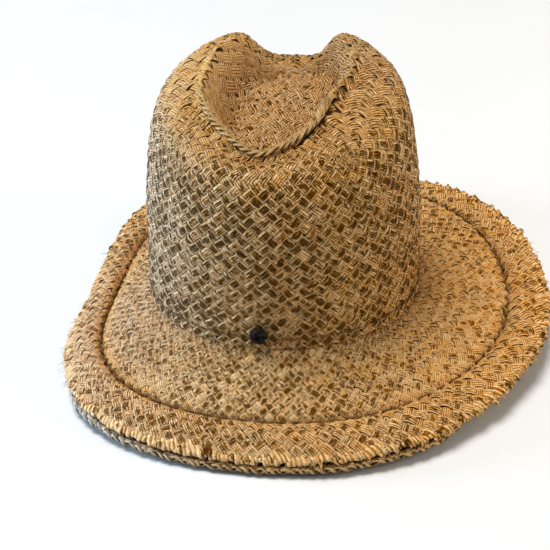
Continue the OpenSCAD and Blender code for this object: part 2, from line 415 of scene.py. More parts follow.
@dataclass(frozen=True)
class CottonFinish:
    """Ribbed cotton band."""

    name: str
    light: Colour
    dark: Colour
    ribs_per_mm: float = 0.8

    def material(self) -> bpy.types.Material:
        """Upright ribs and fine threads on the piece's map, which is in millimetres.

        Returns:
            The material.
        """
        g = Graph(self.name)
        u, v = g.uv()
        rib = (u * (TURN * self.ribs_per_mm)).sine() * 0.5 + 0.5
        pick = (v * (TURN * 1.1)).sine() * 0.5 + 0.5
        wear = g.noise(g.vector(u * 0.05, v * 0.09), 1.0, 4.0)
        colour = g.mix((rib * 0.6 + pick * 0.25 + (wear - 0.5) * 0.9).step(0.1, 0.95), self.dark, self.light)
        return g.surface(colour, 0.85, rib * 0.7 + pick * 0.3, 0.0003, 0.3, 0.2)


@dataclass(frozen=True)
class ThreadFinish:
    """Waxed or dyed thread with the lay of its yarns."""

    name: str
    light: Colour
    dark: Colour
    grain: float = 900.0
    rough: float = 0.7

    def material(self) -> bpy.types.Material:
        """Fine noise in the piece's own coordinates.

        Returns:
            The material.
        """
        g = Graph(self.name)
        spot = g.place()
        lay = g.noise(spot, self.grain, 3.0, 0.6)
        broad = g.noise(spot, self.grain * 0.15, 2.0)
        colour = g.mix((lay * 0.7 + broad * 0.5).step(0.4, 0.8), self.dark, self.light)
        return g.surface(colour, self.rough, lay, 0.0003, 0.0, 0.25)


@dataclass(frozen=True)
class FloorFinish:
    """Plain pale paper."""

    name: str
    colour: Colour

    def material(self) -> bpy.types.Material:
        """Faint mottling in the floor's own coordinates.

        Returns:
            The material.
        """
        g = Graph(self.name)
        mottle = g.noise(g.place(), 8.0, 2.0)
        darker = tuple(0.98 * c for c in self.colour)
        return g.surface(g.mix(mottle, darker, self.colour), 0.9, None, 0.0, 0.0, 0.1)


class Finish(Enum):
    """The finishes that pieces choose from."""

    # Each straw finish's fifth colour is painted shade for where strands pass under.
    CROWN = StrawFinish("crown_straw", srgb(253, 210, 139), srgb(174, 114, 40), srgb(94, 54, 14),
                        srgb(35, 16, 2), srgb(24, 11, 1), 0.9)
    BRIM = StrawFinish("brim_straw", srgb(255, 218, 154), srgb(212, 143, 60), srgb(120, 67, 21),
                       srgb(53, 27, 6), srgb(40, 20, 3))
    UNDER = StrawFinish("under_straw", srgb(226, 196, 148), srgb(172, 134, 82), srgb(104, 74, 38),
                        srgb(42, 31, 20), srgb(32, 22, 12))
    # The backings are dark as painted shade in the gaps between strands.
    CROWN_BACK = BackingFinish("crown_backing", srgb(66, 43, 17), srgb(19, 11, 3))
    BRIM_BACK = BackingFinish("brim_backing", srgb(84, 54, 21), srgb(28, 15, 4))
    COTTON = CottonFinish("cotton_band", srgb(122, 104, 84), srgb(74, 61, 48))
    THREAD = ThreadFinish("waxed_thread", srgb(150, 112, 66), srgb(84, 58, 31))
    TAPE = ThreadFinish("cotton_tape", srgb(122, 104, 84), srgb(74, 61, 48), 600.0, 0.85)
    CORD = ThreadFinish("black_cord", srgb(46, 36, 25), srgb(9, 7, 4), 700.0, 0.85)
    FLOOR = FloorFinish("pale_floor", srgb(240, 244, 250))


class Dresser:
    """Makes each finish once and puts it on pieces."""

    def __init__(self) -> None:
        """Starts with no material made."""
        self.made: Dict[Finish, bpy.types.Material] = {}

    def dress(self, piece: bpy.types.Object, finish: Finish) -> bpy.types.Object:
        """Gives a piece one finish.

        Args:
            piece: The object.
            finish: Its finish.

        Returns:
            The same object.
        """
        if finish not in self.made:
            self.made[finish] = finish.value.material()
        piece.data.materials.clear()
        piece.data.materials.append(self.made[finish])
        return piece


@dataclass
class Net:
    """Points with their faces, map and stored numbers, in millimetres."""

    points: Array
    quads: Array
    caps: List[Array] = field(default_factory=list)
    lay: Optional[Array] = None
    numbers: Dict[str, Array] = field(default_factory=dict)

    def piece(self, name: str) -> bpy.types.Object:
        """Makes the object, leaving out points that no face uses.

        Args:
            name: The object's name.

        Returns:
            An object at the origin, smooth shaded.
        """
        groups = [self.quads] + self.caps
        corners = np.concatenate([g.ravel() for g in groups])
        used, corners = np.unique(corners, return_inverse=True)
        sizes = np.concatenate([np.full(len(g), g.shape[1]) for g in groups])
        starts = np.concatenate([[0], np.cumsum(sizes)[:-1]])
        mesh = bpy.data.meshes.new(name)
        mesh.vertices.add(len(used))
        mesh.vertices.foreach_set("co", (self.points[used] * MM).astype(np.float32).ravel())
        mesh.loops.add(len(corners))
        mesh.loops.foreach_set("vertex_index", corners.astype(np.int32))
        mesh.polygons.add(len(sizes))
        mesh.polygons.foreach_set("loop_start", starts.astype(np.int32))
        mesh.polygons.foreach_set("use_smooth", np.ones(len(sizes), dtype=bool))
        if self.lay is not None:
            layer = mesh.uv_layers.new(name="lay")
            layer.data.foreach_set("uv", self.lay[used][corners].astype(np.float32).ravel())
        for key, values in self.numbers.items():
            stored = mesh.attributes.new(key, "FLOAT", "POINT")
            stored.data.foreach_set("value", values[used].astype(np.float32))
        mesh.update(calc_edges=True)
        mesh.validate()
        made = bpy.data.objects.new(name, mesh)
        bpy.context.scene.collection.objects.link(made)
        return made

    def split(self, strand_count: int, groups: int) -> List["Net"]:
        """Parts woven strands into groups of neighbours, by where each strand's map starts.

        Args:
            strand_count: Number of strands in the net.
            groups: Number of groups.

        Returns:
            One net for each group, all with the same points.
        """
        which = (self.lay[:, 0] // STRAND_LAY).astype(int) * groups // strand_count
        return [Net(self.points, self.quads[which[self.quads[:, 0]] == k],
                    [c[which[c[:, 0]] == k] for c in self.caps], self.lay, self.numbers)
                for k in range(groups)]


def joined(nets: Sequence[Net]) -> Net:
    """Joins nets to one.

    Args:
        nets: The nets.

    Returns:
        One net, with the numbers that all of them store.
    """
    shifts = np.cumsum([0] + [len(n.points) for n in nets])
    caps = [c + s for n, s in zip(nets, shifts) for c in n.caps]
    keys = set.intersection(*[set(n.numbers) for n in nets])
    lays = [n.lay for n in nets]
    return Net(
        np.concatenate([n.points for n in nets]),
        np.concatenate([n.quads + s for n, s in zip(nets, shifts)]), caps,
        None if any(l is None for l in lays) else np.concatenate(lays),
        {k: np.concatenate([n.numbers[k] for n in nets]) for k in keys})


def shell(outer: Array, inner: Array, lay: Array) -> Net:
    """Closed shell between two ring nets, joined at both ends.

    The nets are rows by places round the hat, and the places close on themselves.

    Args:
        outer: Outer points, (rows, around, 3).
        inner: Inner points, shaped alike.
        lay: Map of the points, (rows, around, 2).

    Returns:
        The shell, with its faces outwards where rows rise and places run anticlockwise.
    """
    rows, around = outer.shape[:2]
    index = np.arange(rows * around).reshape(rows, around)
    nxt = np.roll(index, -1, axis=1)
    front = np.stack([index[:-1], nxt[:-1], nxt[1:], index[1:]], -1).reshape(-1, 4)
    back = front[:, ::-1] + rows * around
    low = np.stack([index[0] + rows * around, nxt[0] + rows * around, nxt[0], index[0]], -1)
    high = np.stack([index[-1], nxt[-1], nxt[-1] + rows * around, index[-1] + rows * around], -1)
    return Net(np.concatenate([outer.reshape(-1, 3), inner.reshape(-1, 3)]),
               np.concatenate([front, back, low, high]), [],
               np.concatenate([lay.reshape(-1, 2)] * 2))


def ring_normals(net: Array) -> Array:
    """Unit normals of a ring net, from the steps round the hat and from row to row."""
    around = np.roll(net, -1, axis=1) - np.roll(net, 1, axis=1)
    return unit(np.cross(around, np.gradient(net, axis=0)))


@dataclass(frozen=True)
class Section:
    """A strand's closed section: shares of its half width, and heights in millimetres."""

    across: Tuple[float, ...]
    height: Tuple[float, ...]


RIBBED = Section((-1.0, -0.55, 0.55, 1.0, 0.86, 0.6, 0.3, 0.0, -0.3, -0.6, -0.86),
                 (-0.1, -0.2, -0.2, -0.1, 0.08, 0.27, 0.34, 0.42, 0.35, 0.27, 0.08))
FLAT = Section((-1.0, 0.0, 1.0, 0.65, 0.0, -0.65), (-0.04, -0.18, -0.04, 0.18, 0.16, 0.18))
ROUND = Section(tuple(math.cos(TURN * k / 8) for k in range(8)),
                tuple(math.sin(TURN * k / 8) for k in range(8)))


def strands(centre: Array, up: Array, half: Array, section: Section, valid: Optional[Array] = None,
            rise: Union[float, Array] = 1.0, along: Optional[Array] = None,
            numbers: Optional[Dict[str, Array]] = None) -> Net:
    """Carries a section along each row of centre points.

    A point is centre + half * across * side + rise * height * up, with side = up x way.

    Args:
        centre: Centre lines, (strands, steps, 3).
        up: Unit directions of the sections' upper side, shaped alike.
        half: Half widths, (strands, steps).
        section: The closed section, listed anticlockwise as seen from the far end.
        valid: Steps that exist, one unbroken stretch in each strand; all where left out.
        rise: Factor on the section's heights.
        along: Places along the strands for the map, in millimetres.
        numbers: Numbers to store on the points, by name, (strands, steps).

    Returns:
        Closed strands with their map: along, and from 0 to 1 across.
    """
    n, steps = centre.shape[:2]
    valid = np.ones((n, steps), dtype=bool) if valid is None else valid
    way = unit(np.gradient(centre, axis=1))
    side = unit(np.cross(up, way))
    top = unit(np.cross(way, side))
    x, y = np.array(section.across), np.array(section.height)
    c = len(x)
    lifted = (np.broadcast_to(rise, (n, steps))[..., None] * y)[..., None]
    points = (centre[:, :, None] + (half[..., None] * x)[..., None] * side[:, :, None]
              + lifted * top[:, :, None])
    index = np.arange(n * steps * c).reshape(n, steps, c)
    nxt = np.roll(index, -1, axis=2)
    quads = np.stack([index[:, :-1], nxt[:, :-1], nxt[:, 1:], index[:, 1:]], -1)
    whole = valid[:, :-1] & valid[:, 1:]
    rows = np.arange(n)[whole.any(axis=1)]
    first = np.argmax(whole, axis=1)[rows]
    last = steps - 1 - np.argmax(whole[:, ::-1], axis=1)[rows]
    caps = [index[rows, first][:, ::-1], index[rows, last]]
    along = lengths(centre) if along is None else along
    lay = np.stack(np.broadcast_arrays(along[..., None], (x + 1.0) / 2.0), -1).reshape(-1, 2)
    stored = {k: np.broadcast_to(v[..., None], (n, steps, c)).reshape(-1).copy()
              for k, v in (numbers or {}).items()}
    return Net(points.reshape(-1, 3), quads[whole].reshape(-1, 4), caps, lay, stored)


@dataclass(frozen=True)
class HatForm:
    """The hat's sizes in millimetres, and its surfaces.

    A brim place holds the groove's reach, the margin's width, and the drops of groove and edge. A
    swing of the crest towards the wearer's right holds its amount and its middle and width in
    degrees. The lower ply comes free over the first pair of degrees and is tucked away again over
    the second.
    """

    head_width: float = 164.0
    head_length: float = 200.0
    head_line_rise: float = 16.0
    ply: float = 1.6
    gap: float = 0.3
    crest_front_h: float = 126.0
    crest_back_h: float = 144.0
    crest_side_lift: float = 13.0
    wall_lean: float = 4.0
    shoulder_w: float = 30.0
    crest_side_inset: float = 42.0
    crest_front_inset: float = 36.0
    crest_back_inset: float = 30.0
    lip_h: float = 2.5
    lip_w: float = 6.0
    dent_depth: float = 20.0
    dent_side_w: float = 15.0
    floor_dome: float = 7.0
    notch_depth: float = 24.0
    notch_w: float = 51.0
    notch_shift: float = 6.0
    crest_shift: float = 2.0
    swings: Tuple[Tuple[float, float, float], ...] = ((8, 338, 24), (3, 215, 35), (3, 285, 30))
    swing_shares: Tuple[float, ...] = (0, 0, 0, 0, 0.05, 0.4, 1, 1, 1, 0.6, 0.1)
    brim_places: Tuple[Tuple[float, float, float, float], ...] = (
        (60, 26, 10, 13), (60, 26, 5, 7), (52, 25, 12, 22), (42, 24, 8, 9),
        (29, 19, 19, 23), (42, 27, 12, 21), (36, 24, 10, 23), (47, 26, 10, 19))
    groove_depth: float = 2.4
    groove_run: float = 3.0
    margin_puff: float = 3.0
    collar_h: float = 14.0
    under_inset: float = 3.0
    edge_gap: float = 3.5
    tuck: float = 9.0
    free_from: Tuple[float, float] = (208.0, 228.0)
    free_to: Tuple[float, float] = (331.0, 311.0)
    tucked_gap_share: float = 0.3
    dent_middle_y: float = 4.0
    wall_out: float = 5.1
    collar_r: float = -1.9
    corner_r: float = 1.2
    mouth_drop: float = 0.706
    last_row: int = 11

    @property
    def wall_a(self) -> float:
        """Half width of the crown's foot."""
        return self.head_width / 2 + self.wall_out

    @property
    def wall_b(self) -> float:
        """Half length of the crown's foot."""
        return self.head_length / 2 + self.wall_out

    def head_z(self, y: Array) -> Array:
        """Height of the head line, which rises towards the front."""
        return -self.head_line_rise * y / self.wall_b

    def crest_z(self, y: Array) -> Array:
        """Height of the crest's plane, which rises towards the back."""
        front, back = self.wall_b - self.crest_front_inset, self.wall_b - self.crest_back_inset
        return self.crest_front_h + (self.crest_back_h - self.crest_front_h) * (y + front) / (front + back)

    def notch_z(self, x: Array, y: Array) -> Array:
        """Depth of the notch at the back: a flat-bottomed bell across, growing to the back.

        Args:
            x: Place across the hat.
            y: Place along it, shaped like x.

        Returns:
            Depths, shaped like x.
        """
        back = 0.75 * (self.wall_b - self.crest_back_inset)
        across = np.exp(-(2.0 * (x + self.notch_shift) / self.notch_w) ** 4)
        return self.notch_depth * across * np.clip(y / back, 0.0, 1.0) ** 2

    def ring_table(self) -> Array:
        """Rings of the crown, from the mouth to the dent's floor.

        Returns:
            One row for each ring: insets at side, front and back, share of the height, sinks at
            front, side and back, share of the notch, and the powers of the oval at front and back.
        """
        s, f, b = self.crest_side_inset, self.crest_front_inset, self.crest_back_inset
        w, h, l = self.dent_side_w, self.lip_h, self.lip_w
        d, dome, t, v = self.dent_depth, self.floor_dome, self.wall_lean, self.shoulder_w
        lift, part = self.crest_side_lift, 0.4 * self.crest_side_lift
        return np.array([
            (0, 0, 0, 0, 0, 0, 0, 0, 2, 2),
            (0, 0, 0, 0.22, 0, 0, 0, 0, 2, 2),
            (0.2 * t, 0.2 * t, 0.2 * t, 0.48, 0, 0, 0, 0, 2, 2),
            (t, t, t, 0.73, 0, 0, 0, 0.05, 2, 2),
            (v / 3, v / 3, v / 3, 0.9, 0, -part, 0, 0.55, 2, 2),
            (0.67 * v, 0.67 * v, 0.67 * v, 0.985, 0, -part, 0, 1, 1.95, 2.1),
            (s - l, f - l, b - l, 1, h, 2 * h - lift, 0, 1, 1.65, 2.3),
            (s, f, b, 1, 0, -lift, 0, 1, 1.55, 2.4),
            (s + l, f + l, b + l, 1, 0.3 * d, 0.3 * d - lift, 0, 1, 1.55, 2.3),
            (s + w, f + w, b + w, 1, 0.85 * d, d - lift / 2, 0.1 * d, 1, 1.6, 2.2),
            (0.75 * self.wall_a, 0.71 * self.wall_b, 0.65 * self.wall_b, 1,
             0.85 * d - 0.3 * dome, d - 0.5 * dome, 0.2 * d, 0.9, 2, 2)], dtype=float)

    def crown(self, angle: Array, row: Array) -> Array:
        """Outer face of the crown: smooth cubic curves through its rings, row 0 at the mouth and
        the last row at the middle of the dent.

        Args:
            angle: Angle round the hat, in radians.
            row: Row, shaped like angle.

        Returns:
            Points, shaped like angle with three coordinates.
        """
        table = self.ring_table()
        r = table.reshape(table.shape + (1,) * angle.ndim)
        c, s = np.cos(angle), np.sin(angle)
        power = 2.0 / (r[:, 8] + (r[:, 9] - r[:, 8]) * (s + 1.0) / 2.0)
        swing = sum(amount * bell(angle, middle, width) for amount, middle, width in self.swings)
        share = np.array(self.swing_shares).reshape((-1,) + (1,) * angle.ndim)
        x = (self.wall_a - r[:, 0]) * np.sign(c) * np.abs(c) ** power - self.crest_shift * r[:, 3] ** 2
        x = x - swing * share
        y = (self.wall_b - np.where(s > 0, r[:, 2], r[:, 1])) * np.sign(s) * np.abs(s) ** power
        sink = np.where(s > 0, r[:, 6], r[:, 4]) * s * s + r[:, 5] * c * c
        foot = self.head_z(y)
        z = foot + (self.crest_z(y) - foot) * r[:, 3] - sink - r[:, 7] * self.notch_z(x, y)
        rings = np.stack([x, y, z], -1)
        middle_z = self.crest_z(self.dent_middle_y) - self.dent_depth + self.floor_dome
        pole = np.broadcast_to(np.array([-self.crest_shift, self.dent_middle_y, middle_z]), rings[:1].shape)
        stations = np.concatenate([2 * rings[:1] - rings[1:2], rings, pole, 2 * pole - rings[-1:]])
        i = np.clip(np.floor(row).astype(int), 0, self.last_row - 1)
        near = [np.take_along_axis(stations, (i + k)[None, ..., None], axis=0)[0] for k in range(4)]
        return smooth(*near, (row - i)[..., None])

    def brim_value(self, angle: Array, k: int) -> Array:
        """Carries one entry of the brim places round the hat by a smooth cubic curve.

        Args:
            angle: Angle round the hat, in radians.
            k: The entry's index in a brim place.

        Returns:
            Its values, shaped like angle.
        """
        values = np.array(self.brim_places, dtype=float)[:, k]
        n = len(values)
        u = np.mod(angle, TURN) * n / TURN
        i = np.floor(u).astype(int)
        return smooth(values[(i - 1) % n], values[i % n], values[(i + 1) % n], values[(i + 2) % n], u - i)

    def lower_free(self, angle: Array) -> Array:
        """1 where the lower ply's edge stands free, at the front, and 0 where it is tucked under."""
        degrees = np.degrees(np.mod(angle, TURN))
        return ease(*self.free_from, degrees) * ease(*self.free_to, degrees)

    def brim(self, angle: Array, share: Array, under: bool = False) -> Array:
        """Upper face of a brim ply: share 0 at the crown, 1 in the groove and 2 at the edge.

        The slope falls as 0.82 u + 0.18 u^2, the margin swells as 4 v (1 - v), and the groove
        sinks as an exponential of the distance from it.

        Args:
            angle: Angle round the hat, in radians.
            share: Place across the brim, shaped like angle.
            under: True for the lower ply, which parts from the upper one at the edge.

        Returns:
            Points, shaped like angle with three coordinates.
        """
        g, m, drop, edge = (self.brim_value(angle, k) for k in range(4))
        u, v = np.minimum(share, 1.0), np.maximum(share - 1.0, 0.0)
        corner = self.head_z(self.wall_b * np.sin(angle)) - self.mouth_drop
        slope = corner + (-drop - corner) * (0.82 * u + 0.18 * u * u)
        margin = (drop - edge) * v + self.margin_puff * 4.0 * v * (1.0 - v)
        reach = g * u + m * v
        z = slope + margin - self.groove_depth * np.exp(-np.abs(reach - g) / self.groove_run)
        if under:
            free = self.lower_free(angle)
            reach = reach - (self.under_inset + self.tuck * (1.0 - free)) * v
            gap_share = self.tucked_gap_share + (1.0 - self.tucked_gap_share) * free
            z = z - self.ply - 2 * self.gap - self.edge_gap * gap_share * v * v
            z = z - self.margin_puff * 2.0 * v * (1.0 - v)
        return np.stack([(self.wall_a + reach) * np.cos(angle), (self.wall_b + reach) * np.sin(angle), z], -1)

    def wall(self, angle: float, out: float, height: float) -> Array:
        """Point on the upright oval wall."""
        y = self.wall_b * math.sin(angle)
        return np.array([(self.wall_a + out) * math.cos(angle), (self.wall_b + out) * math.sin(angle),
                         self.head_z(y) + height])

    def wall_way(self, angle: float) -> Array:
        """Outward direction of the oval wall."""
        return unit(np.array([math.cos(angle) / self.wall_a, math.sin(angle) / self.wall_b, 0.0]))


class Plait:
    """What every plaited piece shares: uneven tones and the stain on the strands' floats."""

    def __init__(self, seed: int, stained: float) -> None:
        """Keeps a seeded generator and the share of floats that are stained."""
        self.rng = np.random.default_rng(seed)
        self.stained = stained

    def floats(self, phase: Array) -> Dict[str, Array]:
        """Numbers for the finish, from the over-and-under phase, whose tops are at whole turns.

        Each float over the crossing strands gets its own amount of stain, and now and then a
        strand is stained over several floats in a row.

        Args:
            phase: Phase in turns, (strands, steps).

        Returns:
            tone, stain, depth for painted shade where a strand passes under, warm, and greyness for
            weathering and painted sheen, each (strands, steps).
        """
        n = len(phase)
        k = np.round(phase).astype(int)
        k = k - k.min()
        amount = np.clip(self.rng.normal(self.stained, 0.3, (n, k.max() + 1)), 0.0, 1.0)
        streak = self.rng.uniform(0.0, 1.0, (n, k.max() // 3 + 1))
        rows = np.arange(n)[:, None]
        picked = np.maximum(amount[rows, k], (streak > 0.955)[rows, k // 3] * 0.95)
        local = np.abs(phase - np.round(phase))
        stain = 1.3 * picked - 1.0 * (local / 0.25) ** 2
        tone = self.rng.uniform(-0.7, 0.7, (n, 1)) + self.rng.uniform(-0.3, 0.3, amount.shape)[rows, k]
        # Painted shade: depth is 0 where a strand passes under the crossing one.
        depth = 0.5 + 0.5 * np.cos(TURN * phase)
        warm = 0.7 * self.rng.uniform(0.0, 1.0, amount.shape)[rows, k] ** 2
        return {"tone": tone, "stain": stain, "depth": depth, "warm": warm, "grey": np.zeros(phase.shape)}


@dataclass(frozen=True)
class Unevenness:
    """How strands laid by hand vary in width, place and lift: each a share and a period in mm."""

    width: Tuple[float, float]
    aside: Tuple[float, float]
    lift: Tuple[float, float]

    def vary(self, rng: np.random.Generator, p: Array, up: Array,
             spacing: Array) -> Tuple[Array, Array, Array, Array]:
        """Moves strands aside, and says how their widths and lifts change.

        Args:
            rng: Seeded generator.
            p: Centre lines, (strands, steps, 3).
            up: Unit normals of the surface, shaped alike.
            spacing: Distance from strand to strand, (strands, steps).

        Returns:
            The moved lines, the places along them, and the factors on their widths and lifts.
        """
        n, along = len(p), lengths(p)
        width = 1.0 + self.width[0] * waves(rng, n, along, self.width[1])
        aside = spacing * self.aside[0] * waves(rng, n, along, self.aside[1])
        lift = 1.0 + self.lift[0] * waves(rng, n, along, self.lift[1])
        side = unit(np.cross(up, np.gradient(p, axis=1)))
        return p + side * aside[..., None], along, width, lift


@dataclass(frozen=True)
class Zone:
    """What a zone of the hat adds to its strands' tone, stain, warmth and greyness, where the greyness is
    partly weathering and partly painted cool sheen.
    """

    tone: float = 0.0
    stain: float = 0.0
    warm: float = 0.0
    grey: float = 0.0

    def colour(self, numbers: Dict[str, Array], share: Array) -> None:
        """Adds the zone to the strands' numbers.

        Args:
            numbers: The strands' numbers, which are changed.
            share: How far each step lies in the zone, from 0 to 1.
        """
        for key in ("tone", "stain", "warm", "grey"):
            numbers[key] = numbers[key] + getattr(self, key) * share


@dataclass
class Crown:
    """The crown: its backing shell, its woven strands and its lip."""

    form: HatForm
    strand_count: int = 60
    corner_row: float = 4.6
    amplitude: float = 0.8
    sink: float = 0.75
    fill: float = 0.88
    step: float = 0.0148
    overrun: float = 0.06
    flare: float = 1.0
    flare_run: float = 2.5
    uneven: Unevenness = Unevenness((0.05, 40.0), (0.045, 55.0), (0.18, 30.0))
    spacing_range: Tuple[float, float] = (1.5, 9.0)
    full_spacing: float = 6.5
    thickness_range: Tuple[float, float] = (0.6, 1.1)
    groups: int = 4
    crest_row: float = 6.95
    lip_r: float = 1.4
    lip_lay: float = 16.0
    lip_from: float = 184.0
    lip_sweep: float = 172.0
    lip_sink: float = 1.6
    crease_row: float = 6.42
    crease_w: float = 0.28
    crease_at: float = 322.0
    crease_spread: float = 34.0
    crease_depth: float = 1.3
    dent_rows: Tuple[float, float] = (7.2, 8.2)
    dent_flat: float = 0.45
    backing_depths: Tuple[float, float] = (0.95, 1.55)
    stained: float = 0.64
    hem: float = 0.9
    hem_squeeze: float = 0.02

    def frame_at(self, angle: Array, row: Array) -> Tuple[Array, Array, Array]:
        """Points of the crown with their steps by angle and by row, from central differences.

        Args:
            angle: Angle round the hat.
            row: Row, shaped like angle.

        Returns:
            Points, change by angle and change by row.
        """
        return with_steps(self.form.crown, angle, row, 1e-3)

    def radial_table(self) -> Tuple[Array, Array]:
        """Rows against the logarithm of the flat disc's radius, ln|z| = -sum(ds / r), with ds the
        mean step up the crown and r the ring's length over a turn; zero at the corner row.

        Returns:
            Rows and logarithms, from the mouth to the middle.
        """
        last = self.form.last_row
        rows = np.concatenate([np.linspace(0.0, last - 0.5, 360), last - np.geomspace(0.48, 0.01, 60)])
        angle = np.linspace(0.0, TURN, 97)
        net = self.form.crown(*np.meshgrid(angle, rows))
        length = np.linalg.norm(np.diff(net, axis=1), axis=-1).sum(axis=1) / TURN
        climb = np.linalg.norm(np.diff(net, axis=0), axis=-1).mean(axis=1)
        logs = -np.concatenate([[0.0], np.cumsum(climb / np.sqrt(length[1:] * length[:-1]))])
        return rows, logs - np.interp(self.corner_row, rows, logs)

    @staticmethod
    def root(z: Array, near: Array) -> Array:
        """Fourth root of 1 + z^4 on the branch nearest to a known value.

        Args:
            z: Places on the flat disc.
            near: Known values of the root close by.

        Returns:
            The roots, shaped like z.
        """
        w = (1.0 + z ** 4) ** 0.25
        turns = w[None] * np.array([1, 1j, -1, -1j])[:, None]
        pick = np.abs(turns - near[None]).argmin(axis=0)
        return turns[pick, np.arange(len(z))]

    def trace(self, radius: float, offset: float, count: int, steps: int) -> Tuple[Array, Array]:
        """Follows strands from the mouth over the top and down again, on a flat disc.

        In the disc a strand obeys dz/dl = exp(3 pi i / 4) (1 + z^4)^(1/4). It climbs the wall at
        45 degrees, crosses the top as one direction of a square weave with four corners, and
        comes down leaning the other way. Steps of fourth order follow it.

        Args:
            radius: The disc's radius at the mouth.
            offset: Angle of the first strand's foot, in strand spacings.
            count: Number of strands to follow, of strand_count round the hat.
            steps: Number of steps.

        Returns:
            Places z and roots w, (steps + 1, count).
        """
        h, lean = self.step, np.exp(0.75j * math.pi)
        z = radius * np.exp(1j * TURN * (np.arange(count) + offset) / self.strand_count)
        w = self.root(z, z)
        zs, ws = [z], [w]
        for _ in range(steps):
            k1 = lean * w
            w2 = self.root(z + h / 2 * k1, w)
            w3 = self.root(z + h / 2 * lean * w2, w2)
            w4 = self.root(z + h * lean * w3, w3)
            z = z + h / 6 * lean * (w + 2 * w2 + 2 * w3 + w4)
            w = self.root(z, w4)
            zs.append(z)
            ws.append(w)
        return np.array(zs), np.array(ws)

    def layout(self, mouth: float) -> Tuple[Array, Array, Array, Array]:
        """Lays all strands on the flat disc.

        The phase and the strands' feet are set so that every crossing meets one strand at its top
        and the other at its bottom.

        Args:
            mouth: Logarithm of the disc's radius at the crown's mouth.

        Returns:
            Places z, roots w, phases in turns and the steps that exist, each (strands, steps).
        """
        radius = math.exp(mouth + self.overrun)
        pitch = TURN / self.strand_count
        steps = int((2 * math.sqrt(2) * mouth + 4.0) / self.step)
        probe = np.abs(self.trace(radius, 0.0, 1, steps)[0][:, 0])
        end = int(np.argmax((probe > radius) & (np.arange(steps + 1) > 10)))
        length = self.step * (end - (probe[end] - radius) / (probe[end] - probe[end - 1]))
        turns = length / (math.sqrt(2) * pitch)
        offset = (-0.5 - turns) % 1.0
        z, w = (v.T for v in self.trace(radius, offset, self.strand_count, steps))
        flat = self.step * np.arange(steps + 1)[None]
        start = -0.25 - 0.5 * (turns - offset)
        phase = flat / (math.sqrt(2) * pitch) + start + np.zeros(z.shape)
        valid = np.cumsum((np.abs(z) > radius * 1.0001) & (flat > 0.2), axis=1) == 0
        return z, w, phase, valid

    def row_at(self, size: Array, rows: Array, logs: Array) -> Array:
        """Row of the crown at a distance from the disc's middle.

        It comes from the table. Inside the table's end the row runs straight to the middle, and
        past the mouth it goes on at the first step's rate.

        Args:
            size: Distances from the disc's middle.
            rows: Rows of the table.
            logs: Logarithms of the disc's radius at these rows.

        Returns:
            Rows, shaped like size.
        """
        last = self.form.last_row
        row = np.interp(-np.log(size), -logs, rows)
        inner = last - (last - rows[-1]) * size / math.exp(logs[-1])
        row = np.where(np.log(size) < logs[-1], np.minimum(inner, last - 0.001), row)
        return row - np.maximum(np.log(size) - logs[0], 0.0) * (rows[1] - rows[0]) / (logs[0] - logs[1])

    def plait(self) -> Net:
        """Weaves the crown.

        A strand's height is amplitude * cos(phase). Its width is the spacing, pitch * area / speed,
        of the surface against the flat disc.

        Returns:
            All strands.
        """
        rows, logs = self.radial_table()
        z, w, phase, valid = self.layout(logs[0])
        pitch = TURN / self.strand_count
        size = np.maximum(np.abs(z), 1e-6)
        row, angle = self.row_at(size, rows, logs), np.angle(z)
        p, by_angle, by_row = self.frame_at(angle, row)
        up = unit(np.cross(by_angle, by_row))
        slope = np.interp(row, rows, np.abs(np.gradient(rows, logs)))
        area = np.linalg.norm(np.cross(by_angle, by_row), axis=-1) * slope * (np.abs(w) / size) ** 2
        speed = np.linalg.norm(np.gradient(p, self.step, axis=1), axis=-1)
        spacing = pitch / math.sqrt(2) * area / np.maximum(speed, 1e-3)
        spacing = np.clip(spacing, *self.spacing_range)

        p, along, width, high = self.uneven.vary(np.random.default_rng(5), p, up, spacing)
        half = 0.5 * self.fill * spacing * width
        lift = self.amplitude * np.cos(TURN * phase) * high
        lift = lift * (1.0 - self.dent_flat * ease(*self.dent_rows, row)) - self.sink
        rise = np.maximum(p[..., 2] - self.form.head_z(p[..., 1]), 0.0)
        lift = lift + self.flare * np.exp(-rise / self.flare_run)
        crease = np.exp(-((row - self.crease_row) / self.crease_w) ** 2)
        crease = crease * bell(angle, self.crease_at, self.crease_spread)
        lift = lift - self.crease_depth * crease
        numbers = Plait(11, self.stained).floats(phase)
        self.weather_and_shade(numbers, angle, row, crease)
        thick = np.clip(spacing / self.full_spacing, *self.thickness_range)
        net = strands(p + up * lift[..., None], up, half, RIBBED, valid, thick, laid(along), numbers)
        height, foot = net.points[:, 2], self.form.head_z(net.points[:, 1]) - self.hem
        net.points[:, 2] = np.where(height < foot, foot + self.hem_squeeze * (height - foot), height)
        return net

